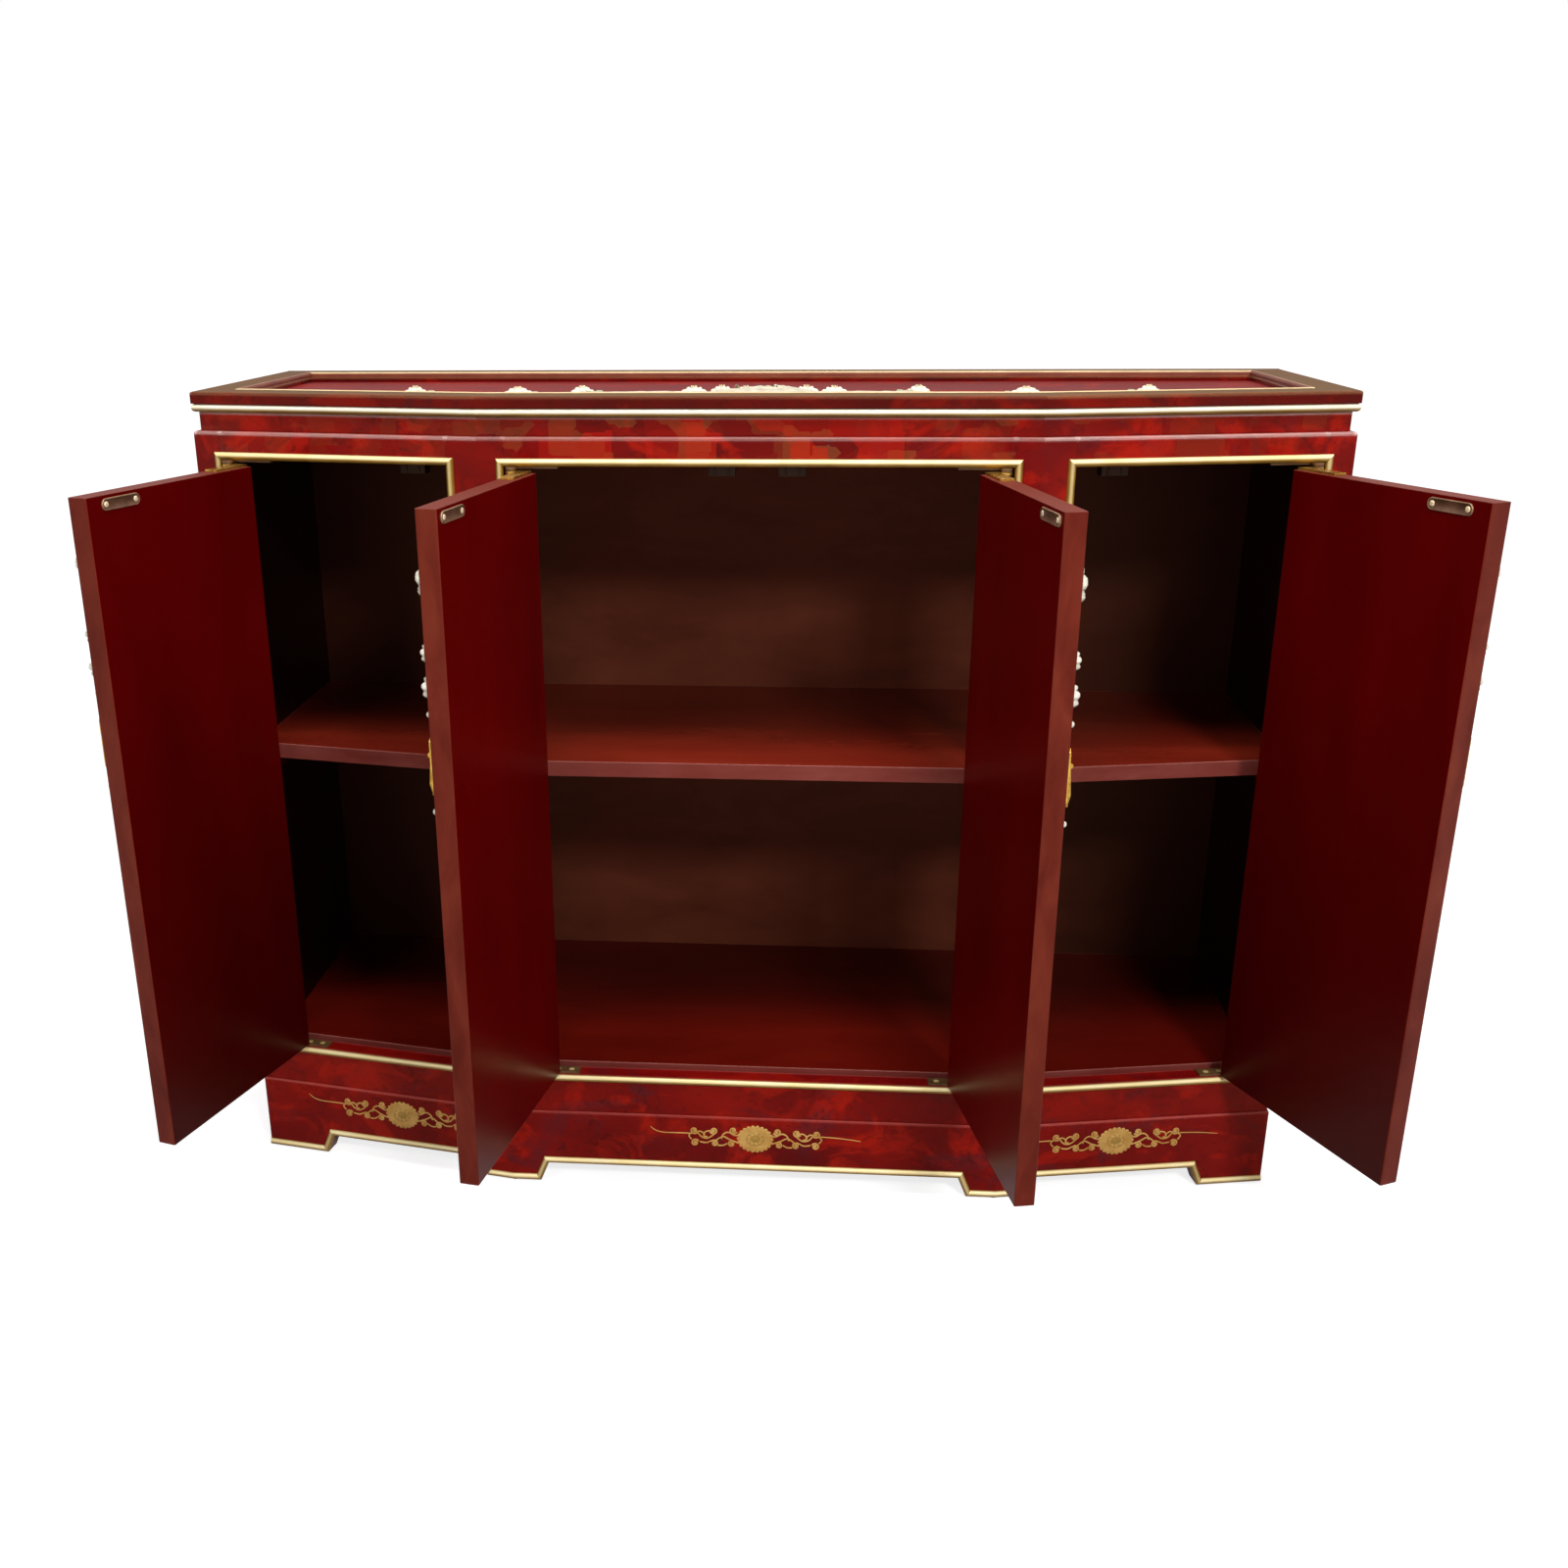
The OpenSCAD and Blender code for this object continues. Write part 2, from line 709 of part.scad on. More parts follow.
module neck_frieze()
    color(red)
        for (i = [0:5])
            stretch(i, closed_plan(-neck_in - neck_t), closed_plan(-neck_in), z_carcass, z_neck, mitre_gap);

z_inner_bead = cab_h + inner_bead_proud - inner_bead_r;

module top_frame()
    color(red)
        for (i = [0:5])
            difference() {
                stretch(i, closed_plan(-rim_w), closed_plan(0), z_neck, cab_h, mitre_gap);
                if (i < 5)
                    arris_cut(open_plan(0), cab_h, rim_arris, [i]);
                for (j = [0:4])
                    stretch(j, open_plan(-2 * edge_bead_r), open_plan(past), z_neck - past,
                        z_neck + 2 * edge_bead_r, -1);
                slab(closed_plan(-rim_w + 2 * inner_bead_r), z_inner_bead - inner_bead_r, cab_h + past);
                slab(closed_plan(-rim_w + groove_d), z_field - field_t, z_field);
            }

module top_panel()
    color(red)
        slab(closed_plan(-rim_w + groove_d), z_field - field_t, z_field);

module top_edge_bead()
    color(gilt)
        for (i = [0:4])
            moulding(i, open_plan(-2 * edge_bead_r), open_plan(0), z_neck, z_neck + 2 * edge_bead_r)
                translate([-edge_bead_r, z_neck + edge_bead_r]) {
                    circle(edge_bead_r);
                    translate([-edge_bead_r, -edge_bead_r])
                        square([edge_bead_r, 2 * edge_bead_r]);
                }

module top_inner_bead()
    color(gilt)
        for (i = [0:5])
            moulding(i, closed_plan(-rim_w), closed_plan(-rim_w + 2 * inner_bead_r),
                z_inner_bead - inner_bead_r, cab_h + past)
                translate([-inner_bead_r, z_inner_bead]) {
                    circle(inner_bead_r);
                    translate([-inner_bead_r, -inner_bead_r])
                        square([2 * inner_bead_r, inner_bead_r]);
                }

// Local frame of a closed door: x from the opening's edge at the hinges, -y out of the front
module at_door(k)
    side_of(is_right(k)) {
        if (is_outer(k))
            on_wall(open_plan(0)[1], open_plan(0)[2])
                translate([stile_w, 0, 0])
                    children();
        else
            translate([-mid_open / 2, -front_d, 0])
                children();
    }

module swung(k)
    at_door(k)
        translate([pin_in, -pin_out, 0])
            rotate([0, 0, -OPEN[k]])
                translate([-pin_in, pin_out, 0])
                    children();

// Outline of a hinge plate: a strip, and the knuckle that reaches out to the pin
module leaf_outline(x0)
    union() {
        translate([x0, leaf_back])
            square([leaf_l - x0, leaf_w]);
        translate([pin_in, -pin_out])
            circle(lug_r);
        translate([pin_in - lug_r, -pin_out])
            square([2 * lug_r, pin_out + leaf_back + 1]);
    }

// Fixed plate with its boss and pin, standing on z = 0 with the pin upwards
module fixed_plate()
    difference() {
        union() {
            linear_extrude(leaf_t)
                leaf_outline(pin_in - lug_r);
            translate([pin_in, -pin_out, 0]) {
                cylinder(h = leaf_t + boss_h, r = lug_r - 0.5);
                cylinder(h = joint_h + leaf_t + pin_over, r = pin_r);
            }
        }
        for (x = screw_x)
            translate([x, leaf_y, leaf_t])
                screw_hole();
    }

module hinge_plates()
    color(brass)
        for (k = [0:3])
            at_door(k) {
                translate([0, 0, z_ledge])
                    fixed_plate();
                translate([0, 0, z_open])
                    mirror([0, 0, 1])
                        fixed_plate();
            }

// The door's own plate, on z = 0, with the bore for the pin
module door_leaf()
    difference() {
        linear_extrude(leaf_t)
            leaf_outline(pin_in - lug_r);
        translate([pin_in, -pin_out, -1])
            cylinder(h = leaf_t + 2, r = pin_r + pin_fit);
    }

module hinge_leaves(k)
    swung(k) {
        color(brass)
            difference() {
                union() {
                    translate([0, 0, door_z0])
                        door_leaf();
                    translate([0, 0, door_z1])
                        door_leaf();
                }
                leaf_screw_places()
                    screw_hole();
            }
        color(bronze)
            leaf_screw_places()
                screw();
    }

// Screw axes of a door's own plates
module leaf_screw_places()
    for (x = screw_x, top = [0, 1])
        translate([x, leaf_y, top == 1 ? door_z1 + leaf_t : door_z0])
            rotate([top == 1 ? 0 : 180, 0, 0])
                children();

module rounded_rectangle(w, h, r)
    union() {
        translate([r, 0])
            square([w - 2 * r, h]);
        translate([0, r])
            square([w, h - 2 * r]);
        for (x = [r, w - r], y = [r, h - r])
            translate([x, y])
                circle(r);
    }

module door(k)
    color(red)
        swung(k)
            difference() {
                translate([hinge_gap, 0, door_z0])
                    linear_extrude(door_z1 - door_z0)
                        rounded_rectangle(door_w(k), door_t, door_arris);
                translate([0, leaf_back, door_z0 - past])
                    cube([leaf_l, leaf_w, leaf_t + past]);
                translate([pin_in - lug_r, -past, door_z0 - past])
                    cube([2 * lug_r, leaf_back + 2 * past, leaf_t + past]);
                leaf_screw_places()
                    screw_hole();
                strike_screw_places(k)
                    screw_hole();
                plate_pin_places(k)
                    screw_hole(plate_pin_r, plate_pin_head_r);
            }

module strike_screw_places(k)
    for (s = [-1, 1])
        translate([strike_x(k) + s * (strike_l / 2 - strike_w / 2), door_t + strike_t, strike_z])
            rotate([-90, 0, 0])
                children();

module strike(k)
    swung(k) {
        color(bronze)
            difference() {
                translate([strike_x(k), door_t, strike_z])
                    rotate([-90, 0, 0])
                        linear_extrude(strike_t)
                            union() {
                                for (s = [-1, 1])
                                    translate([s * (strike_l - strike_w) / 2, 0])
                                        circle(strike_w / 2);
                                square([strike_l - strike_w, strike_w], center = true);
                            }
                strike_screw_places(k)
                    screw_hole();
            }
        color(brass)
            strike_screw_places(k)
                screw();
    }

module magnet_catches()
    color(black)
        for (k = [0:3])
            at_door(k)
                translate([strike_x(k) - catch_w / 2, door_t + strike_t + catch_gap, catch_z])
                    union() {
                        translate([0, 1, 0])
                            cube([catch_w, catch_d, z_carcass - sub_top_t - catch_z]);
                        for (x = [catch_w / 4, 3 * catch_w / 4])
                            translate([x - catch_rib / 2, 0, catch_rib / 2])
                                cube([catch_rib, catch_rib, strike_w / 2]);
                    }

plate_x_mid = plate_in + plate_w / 2;

module plate_pin_places(k)
    for (s = [-1, 1])
        translate([free_x(k) - plate_x_mid, -plate_t, plate_z_mid + s * (plate_h / 2 - plate_pin_in)])
            rotate([90, 0, 0])
                children();

// Pull plate: an oblong with lobed ends, two ears with the fixed pin, and two pins that hold it
module pull_plate(k)
    swung(k) {
        color(brass) {
            difference() {
                translate([free_x(k) - plate_x_mid, 0, plate_z_mid])
                    rotate([90, 0, 0])
                        linear_extrude(plate_t)
                            union() {
                                square([plate_w, plate_h - plate_w * 0.8], center = true);
                                for (s = [-1, 1]) {
                                    translate([0, s * (plate_h / 2 - plate_w * 0.3)])
                                        circle(plate_w * 0.3);
                                    for (t = [-1, 1])
                                        translate([t * plate_w * 0.25, s * (plate_h / 2 - plate_w * 0.4)])
                                            circle(plate_w * 0.25);
                                }
                            }
                plate_pin_places(k)
                    screw_hole(plate_pin_r, plate_pin_head_r);
            }
            translate([free_x(k) - plate_x_mid, -pull_out, pull_z]) {
                for (s = [-1, 1])
                    translate([s * (eye_w / 2 + ear_gap + ear_t / 2), 0, 0])
                        rotate([0, 90, 0])
                            cylinder(h = ear_t, r = eye_r, center = true);
                for (s = [-1, 1])
                    translate([s * (eye_w / 2 + ear_gap + ear_t / 2) - ear_t / 2, 0, -eye_r])
                        cube([ear_t, pull_out - plate_t, 2 * eye_r]);
                rotate([0, 90, 0])
                    cylinder(h = eye_w + 2 * ear_gap + 2 * ear_t, r = pull_pin_r, center = true);
            }
        }
        color(bronze)
            plate_pin_places(k)
                screw(plate_pin_r, plate_pin_head_r);
    }

// Drop pull: an eye on the pin and a drop-shaped blade that hangs from it, with a ball and a tip
module drop_pull(k)
    color(brass)
        swung(k)
            translate([free_x(k) - plate_x_mid, -pull_out, pull_z])
                difference() {
                    union() {
                        rotate([0, 90, 0])
                            cylinder(h = eye_w, r = eye_r, center = true);
                        translate([0, drop_t / 2, 0])
                            rotate([90, 0, 0])
                                linear_extrude(drop_t)
                                    drop_blade();
                        translate([0, 0, -ball_z])
                            sphere(ball_r);
                        translate([0, 0, tip_r - drop_l])
                            sphere(tip_r);
                    }
                    rotate([0, 90, 0])
                        cylinder(h = 2 * eye_w, r = pull_pin_r + pull_fit, center = true);
                }

// Its shoulders and its point are tangents to the round of the blade
module drop_blade()
    let (neck = eye_w * 0.4,
         round_z = ball_z + drop_r,
         up = acos(drop_r / norm([round_z, 0])),
         down = acos(drop_r / (drop_l - tip_r - round_z + drop_r)))
        translate([0, -round_z])
            union() {
                circle(drop_r);
                polygon([
                    [-neck, round_z],
                    [-drop_r * sin(up), drop_r * cos(up)],
                    [-drop_r * sin(down), -drop_r * cos(down)],
                    [-neck * 0.6, round_z + tip_r - drop_l],
                    [neck * 0.6, round_z + tip_r - drop_l],
                    [drop_r * sin(down), -drop_r * cos(down)],
                    [drop_r * sin(up), drop_r * cos(up)],
                    [neck, round_z]
                ]);
            }

module frame_screws()
    color(bronze) {
        for (k = [0:3], top = [false, true])
            plate_screw_places(k, top)
                screw();
        back_screws()
            screw(back_screw_r, back_head_r);
    }

// Carved stone pieces, in plan
module blossom(r)
    union() {
        circle(r * 0.4);
        for (a = [0:72:288])
            rotate(a + 18)
                translate([r * 0.58, 0])
                    circle(r * 0.42);
    }

module leaf(l)
    intersection() {
        translate([l / 2, -l * 0.62])
            circle(l * 0.8);
        translate([l / 2, l * 0.62])
            circle(l * 0.8);
    }

module bird(l)
    union() {
        intersection() {
            translate([0, -l * 0.45])
                circle(l * 0.62);
            translate([0, l * 0.35])
                circle(l * 0.5);
        }
        translate([l * 0.36, l * 0.1])
            circle(l * 0.12);
        polygon([[l * 0.44, l * 0.14], [l * 0.58, l * 0.1], [l * 0.44, l * 0.05]]);
        polygon([[-l * 0.3, l * 0.1], [-l * 0.9, -l * 0.02], [-l * 0.85, -l * 0.16], [-l * 0.25, -l * 0.08]]);
        polygon([[-l * 0.05, l * 0.1], [-l * 0.35, l * 0.5], [l * 0.18, l * 0.14]]);
    }

module rock(l)
    polygon([
        [-l * 0.5, 0], [-l * 0.42, l * 0.2], [-l * 0.2, l * 0.26], [-l * 0.12, l * 0.52],
        [l * 0.1, l * 0.56], [l * 0.16, l * 0.34], [l * 0.38, l * 0.3], [l * 0.5, l * 0.1], [l * 0.44, 0]
    ]);

// A branch is a line of points. It carries twigs, each with [place along it, side, radius of its blossom].
branch_steps = 24;
branch_turns = 1.3;
door_twigs = 8;
function spray(t, foot, rise, sway) = foot + t * rise + sway * sin(360 * branch_turns * t) * unit([rise.y, -rise.x]);
function twig_turn(rise, twig, lean) = atan2(rise.y, rise.x) - twig[1] * lean;
function twig_end(foot, rise, sway, twig, lean, l) =
    let (turn = twig_turn(rise, twig, lean))
    spray(twig[0], foot, rise, sway) + l * [cos(turn), sin(turn)];

module branch(foot, rise, sway, twigs, lean, l) {
    across = stem_w / 2 * unit([rise.y, -rise.x]);
    line = [for (j = [0:branch_steps]) spray(j / branch_steps, foot, rise, sway)];
    polygon(concat(
        [for (p = line) p + across],
        [for (j = [branch_steps:-1:0]) line[j] - across * (1 - 0.5 * j / branch_steps)]
    ));
    for (twig = twigs)
        translate(spray(twig[0], foot, rise, sway))
            rotate(twig_turn(rise, twig, lean)) {
                translate([0, -stem_w / 4])
                    square([l, stem_w / 2]);
                translate([l * 0.25, 0])
                    rotate(twig[1] * 52)
                        leaf(leaf_size);
                translate([l * 0.4, 0])
                    rotate(-twig[1] * 48)
                        leaf(leaf_size * 0.8);
            }
}

module blossoms(foot, rise, sway, twigs, lean, l)
    for (twig = twigs)
        translate(twig_end(foot, rise, sway, twig, lean, l))
            rotate(twig_turn(rise, twig, lean))
                blossom(twig[2]);

DOOR_TWIGS = [
    for (i = [0:door_twigs - 1])
        [(i + 1) / door_twigs, i % 2 == 0 ? 1 : -1, blossom_r * (0.95 - 0.12 * (i % 3))]
];

// Blossoms and berries that stand along a door's free edge: [across, up, radius]
EDGE_BLOSSOMS = [[21, 640, 18], [11, 561, 9], [14, 531, 11]];
EDGE_BERRIES = [[6, 503, 3.5], [6, 407, 4]];
door_branch_foot = 34;
door_branch_rise = 560;
door_lean = 58;
door_birds = [[0.36, 0.52], [0.42, 0.9]];

module door_spray(w)
    union() {
        translate([w * 0.52, door_branch_foot])
            rock(rock_l);
        let (foot = [w * 0.5, door_branch_foot + rock_l * 0.3], rise = [0, door_branch_rise]) {
            branch(foot, rise, door_sway, DOOR_TWIGS, door_lean, twig_l);
            blossoms(foot, rise, door_sway, DOOR_TWIGS, door_lean, twig_l);
        }
        for (b = door_birds)
            translate([w * b[0], (door_z1 - door_z0) * b[1]])
                bird(bird_l);
        for (b = EDGE_BLOSSOMS)
            translate([b[0], b[1]])
                blossom(b[2]);
        for (b = EDGE_BERRIES)
            translate([b[0], b[1]])
                circle(b[2]);
    }

module relief(k)
    color(stone)
        swung(k)
            translate([free_x(k), 0, door_z0])
                rotate([90, 0, 0])
                    linear_extrude(relief_t)
                        mirror([1, 0])
                            door_spray(door_w(k));

// The top's branches run out from the middle, near the front. Their low twigs lean to the front,
// and their raised ones to the back. They keep their distance from the edge that the low twigs near.
top_guide = 0.7;
top_branch_in = 118;
top_guide_d = side_d + top_guide * (front_d - side_d);
top_branch_foot = [-33, top_branch_in - top_guide_d];
top_branch_l = 400;
top_sway = 12;
top_lean = 55;
top_rock_l = 132;
TOP_LOW_TWIGS = [[0.16, -1, 18], [0.43, -1, 20], [0.7, -1, 17], [0.95, -1, 14]];
TOP_RAISED_TWIGS = [[0.32, 1, 14], [0.55, 1, 17], [0.86, 1, 13]];
// Raised blossoms beside the rock: [out from the middle, behind the branch's foot, radius]
TOP_PEAKS = [[80, 44, 15], [47, 61, 12]];

module top_relief()
    color(stone)
        translate([0, 0, z_field])
            for (right = [false, true])
                side_of(right)
                    let (foot = top_branch_foot, rise = [-top_branch_l, 0]) {
                        linear_extrude(top_relief_t) {
                            branch(foot, rise, top_sway, concat(TOP_LOW_TWIGS, TOP_RAISED_TWIGS), top_lean, top_twig_l);
                            blossoms(foot, rise, top_sway, TOP_LOW_TWIGS, top_lean, top_twig_l);
                        }
                        linear_extrude(top_peak_t) {
                            blossoms(foot, rise, top_sway, TOP_RAISED_TWIGS, top_lean, top_twig_l);
                            for (p = TOP_PEAKS)
                                translate([-p[0], top_branch_foot.y + p[1]])
                                    blossom(p[2]);
                            translate([0, top_branch_foot.y])
                                rock(top_rock_l);
                        }
                    }

plinth_board(2);  // plinth_front
plinth_board(1);  // plinth_slant_left
plinth_board(3);  // plinth_slant_right
plinth_board(0);  // plinth_side_left
plinth_board(4);  // plinth_side_right
plinth_back();
plinth_bead();
plinth_blocks();
glides();
bottom_board();
side_panel();  // side_left
side_of(true) side_panel();  // side_right
back_panel();
sub_top();
mid_shelf();
shelf_cleats();
stile();  // stile_left
side_of(true) stile();  // stile_right
post();  // post_left
side_of(true) post();  // post_right
top_rail([0]) slant_rail(z_open, z_carcass);  // top_rail_left
top_rail([1, 2]) mid_rail(z_open, z_carcass);  // top_rail_mid
top_rail([3]) side_of(true) slant_rail(z_open, z_carcass);  // top_rail_right
bottom_rail([0]) slant_rail(z_plinth, z_ledge);  // bottom_rail_left
bottom_rail([1, 2]) mid_rail(z_plinth, z_ledge);  // bottom_rail_mid
bottom_rail([3]) side_of(true) slant_rail(z_plinth, z_ledge);  // bottom_rail_right
opening_beads();
neck_frieze();
top_frame();
top_panel();
top_edge_bead();
top_inner_bead();
top_relief();
hinge_plates();
magnet_catches();
frame_screws();
for (k = [0:3]) {
    door(k);
    hinge_leaves(k);
    strike(k);
    pull_plate(k);
    drop_pull(k);
    relief(k);
}
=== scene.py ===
"""Slant front cabinet in red lacquer, with carved stone pieces and gilt beads."""
import math

import bmesh
import bpy
from mathutils import Matrix, Vector, noise


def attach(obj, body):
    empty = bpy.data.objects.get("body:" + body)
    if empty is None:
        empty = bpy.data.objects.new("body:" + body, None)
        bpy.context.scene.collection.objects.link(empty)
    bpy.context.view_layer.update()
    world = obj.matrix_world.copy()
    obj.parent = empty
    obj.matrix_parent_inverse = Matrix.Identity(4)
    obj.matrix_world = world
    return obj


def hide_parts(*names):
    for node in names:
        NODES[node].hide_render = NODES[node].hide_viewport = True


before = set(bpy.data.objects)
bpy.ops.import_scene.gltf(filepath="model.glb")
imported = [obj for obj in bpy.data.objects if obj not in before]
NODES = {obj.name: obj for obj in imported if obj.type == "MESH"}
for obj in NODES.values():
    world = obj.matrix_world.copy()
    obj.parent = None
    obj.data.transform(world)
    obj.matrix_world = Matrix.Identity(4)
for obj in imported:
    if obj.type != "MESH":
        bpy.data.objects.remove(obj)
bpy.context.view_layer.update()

# Camera, fitted to the cabinet's own edges: angles in radians, lens and sensor in millimetres
CAMERA_PLACE = Vector((0.07825, -2.07128, 1.05446))
CAMERA_YAW = 0.087
CAMERA_TILT = 0.361
CAMERA_ROLL = -0.008
CAMERA_LENS = 36.97
CAMERA_SENSOR = 36
CAMERA_SHIFT = (0.0584, 0.0503)

# Sizes of the cabinet that the dressed pieces follow, in metres
MM = 0.001
FRONT_Y = -0.393
HALF_WIDTH = 0.610
SIDE_Y = -0.333
HALF_MIDDLE = 0.289
SLANT_TURN = math.atan2(SIDE_Y - FRONT_Y, HALF_WIDTH - HALF_MIDDLE)
STILE_WIDTH = 0.031
HALF_OPENING = 0.261
PIN_IN = 0.0085
PIN_OUT = 0.0035
HINGE_GAP = 0.0015
DOOR_FOOT = 0.1506
DOOR_HEIGHT = 0.6943
DOOR_THICKNESS = 0.0215
OUTER_DOOR_WIDTH = 0.25806
INNER_DOOR_WIDTH = 0.258
OUTER_STRIKE_IN = 0.0475
INNER_STRIKE_IN = 0.035
STRIKE_DROP = 0.009
FIELD_HEIGHT = 0.911
PLINTH_OUT = 0.002

# How far each door stands open at rest
OPEN_DEGREES = {"outer_left": 96, "inner_left": 100, "inner_right": 101.5, "outer_right": 105}

UP = (0, 0, 1)
FRONT = (0, -1, 0)


def linear(hex_colour):
    """A written colour, such as 8B0F0A, as linear red, green, blue and alpha."""
    channels = [int(hex_colour[i:i + 2], 16) / 255 for i in (0, 2, 4)]
    values = [c / 12.92 if c < 0.04045 else ((c + 0.055) / 1.055) ** 2.4 for c in channels]
    return (*values, 1.0)


def as_colour(value):
    """A written colour or a plain level as a linear colour; a socket stays as it is."""
    if isinstance(value, str):
        return linear(value)
    if isinstance(value, (int, float)):
        return (value, value, value, 1)
    return value


def put(tree, socket, value):
    """Links a socket to another, or gives it a plain value."""
    if isinstance(value, bpy.types.NodeSocket):
        tree.links.new(value, socket)
    else:
        socket.default_value = value


def add_node(tree, kind, inputs=None, **settings):
    """A new node with its settings and with its inputs, by name or by number."""
    node = tree.nodes.new(kind)
    for key, value in settings.items():
        setattr(node, key, value)
    for key, value in (inputs or {}).items():
        put(tree, node.inputs[key], value)
    return node


def empty_tree(owner):
    """The cleared node tree of a material or a world."""
    owner.use_nodes = True
    owner.node_tree.nodes.clear()
    return owner.node_tree


def calculated(tree, operation, first, second=0.0, clamp=False):
    """The result of a math node."""
    node = add_node(tree, "ShaderNodeMath", {0: first, 1: second}, operation=operation, use_clamp=clamp)
    return node.outputs[0]


def ranged(tree, value, start, stop, low, high=1.0):
    """Low where a value is at its start, rising to high at its stop."""
    limits = {"From Min": start, "From Max": stop, "To Min": low, "To Max": high}
    return add_node(tree, "ShaderNodeMapRange", {"Value": value, **limits}).outputs[0]


class Shader:
    """One material, with short calls for the nodes that it is made of."""

    BEVEL_SAMPLES = 4
    # Cosines of the bend from a flat to a rounded normal: where an edge starts and where it is full
    EDGE_BEND = (0.998, 0.92)
    # How much the painted edge highlights favour edges that face up
    EDGE_RISE = 3
    # Numbers of the colour sockets of a mix node
    MIX_SHARE = 0
    MIX_FIRST = 6
    MIX_SECOND = 7
    MIX_RESULT = 2

    def __init__(self, name, **finish):
        self.material = bpy.data.materials.new(name)
        self.tree = empty_tree(self.material)
        self.bsdf = self.add("ShaderNodeBsdfPrincipled")
        self.add("ShaderNodeOutputMaterial", {"Surface": self.bsdf.outputs[0]})
        coords = self.add("ShaderNodeTexCoord")
        self.at = coords.outputs["Object"]
        self.normal = coords.outputs["Normal"]
        self.set(**finish)

    def add(self, kind, inputs=None, **settings):
        return add_node(self.tree, kind, inputs, **settings)

    def set(self, **finish):
        """Sets inputs of the main shader, named with underscores for spaces."""
        for key, value in finish.items():
            put(self.tree, self.bsdf.inputs[key.replace("_", " ")], value)

    def noise(self, scale, detail=4, roughness=0.5, distortion=0.0, stretch=(1, 1, 1), shift=(0, 0, 0)):
        """A cloudy tone in the surface's own coordinates."""
        place = self.add("ShaderNodeMapping", {"Vector": self.at, "Location": shift, "Scale": stretch})
        finish = {"Scale": scale, "Detail": detail, "Roughness": roughness, "Distortion": distortion}
        return self.add("ShaderNodeTexNoise", {"Vector": place.outputs[0], **finish}).outputs["Fac"]

    def tiles(self, scale):
        """A random tone for each of many squarish cells, for the patches of a painted reflection."""
        inputs = {"Vector": self.at, "Scale": scale, "Randomness": 0.7}
        cells = self.add("ShaderNodeTexVoronoi", inputs, distance="CHEBYCHEV")
        return self.add("ShaderNodeSeparateColor", {"Color": cells.outputs["Color"]}).outputs[0]

    def ramp(self, factor, stops):
        """Colours or levels at stops along a factor."""
        node = self.add("ShaderNodeValToRGB", {"Fac": factor})
        elements = node.color_ramp.elements
        while len(elements) < len(stops):
            elements.new(0.5)
        for element, (place, colour) in zip(elements, stops):
            element.position = place
            element.color = as_colour(colour)
        return node.outputs[0]

    def shades(self, tone, low, high, start=0.3, stop=0.7):
        """From a low colour or level to a high one as a tone rises."""
        return self.ramp(tone, [(start, low), (stop, high)])

    def mix(self, share, first, second):
        """A blend of two colours by the share of the second."""
        colours = {self.MIX_FIRST: as_colour(first), self.MIX_SECOND: as_colour(second)}
        node = self.add("ShaderNodeMix", {self.MIX_SHARE: share, **colours}, data_type="RGBA")
        return node.outputs[self.MIX_RESULT]

    def times(self, first, second, clamp=False):
        return calculated(self.tree, "MULTIPLY", first, second, clamp)

    def distance(self, value):
        """A value without its sign."""
        return calculated(self.tree, "ABSOLUTE", value)

    def part(self, vector, axis):
        """One part of a vector."""
        return self.add("ShaderNodeSeparateXYZ", {"Vector": vector}).outputs[axis]

    def dot(self, first, second):
        """The dot product of two directions."""
        node = self.add("ShaderNodeVectorMath", {0: first, 1: second}, operation="DOT_PRODUCT")
        return node.outputs["Value"]

    def fade(self, value, start, stop, most=1.0):
        """0 where a value is at its start, rising to the most share at its stop."""
        return ranged(self.tree, value, start, stop, 0.0, most)

    def facing(self, direction, start=0.85, stop=0.95):
        """1 where the surface at rest faces a direction, 0 elsewhere."""
        return self.fade(self.dot(self.normal, tuple(direction)), start, stop)

    def rounded(self, radius):
        """The normal of the surface with its edges rounded."""
        return self.add("ShaderNodeBevel", {"Radius": radius}, samples=self.BEVEL_SAMPLES).outputs[0]

    def edges(self, radius):
        """1 along the upper edges of the solid, 0 on its flats; it places the painted edge highlights."""
        round_normal = self.rounded(radius)
        flat_normal = self.add("ShaderNodeNewGeometry").outputs["Normal"]
        bent = self.fade(self.dot(round_normal, flat_normal), *self.EDGE_BEND)
        upward = self.times(self.part(round_normal, "Z"), self.EDGE_RISE, clamp=True)
        return self.times(bent, upward)

    def bump(self, height, distance, strength, radius=0.0):
        """Fine relief in the shading, over edges rounded by a radius."""
        inputs = {"Height": height, "Distance": distance, "Strength": strength}
        if radius:
            inputs["Normal"] = self.rounded(radius)
        self.set(Normal=self.add("ShaderNodeBump", inputs).outputs[0])


LACQUER_GLOSS = (1.0, 0.4, 0.25, 1.0)

# Where the painted reflection and painted shade change over the boards, in metres as (start, stop):
# across, front to back, and up
MIDDLE_REFLECTION_SPAN = (0.16, 0.4)
END_SHADE_SPAN = (0.22, 0.42)
SHELF_SHADE_SPAN = (-0.27, -0.1)
DOOR_SHADE_SPAN = (0.65, 0.15)


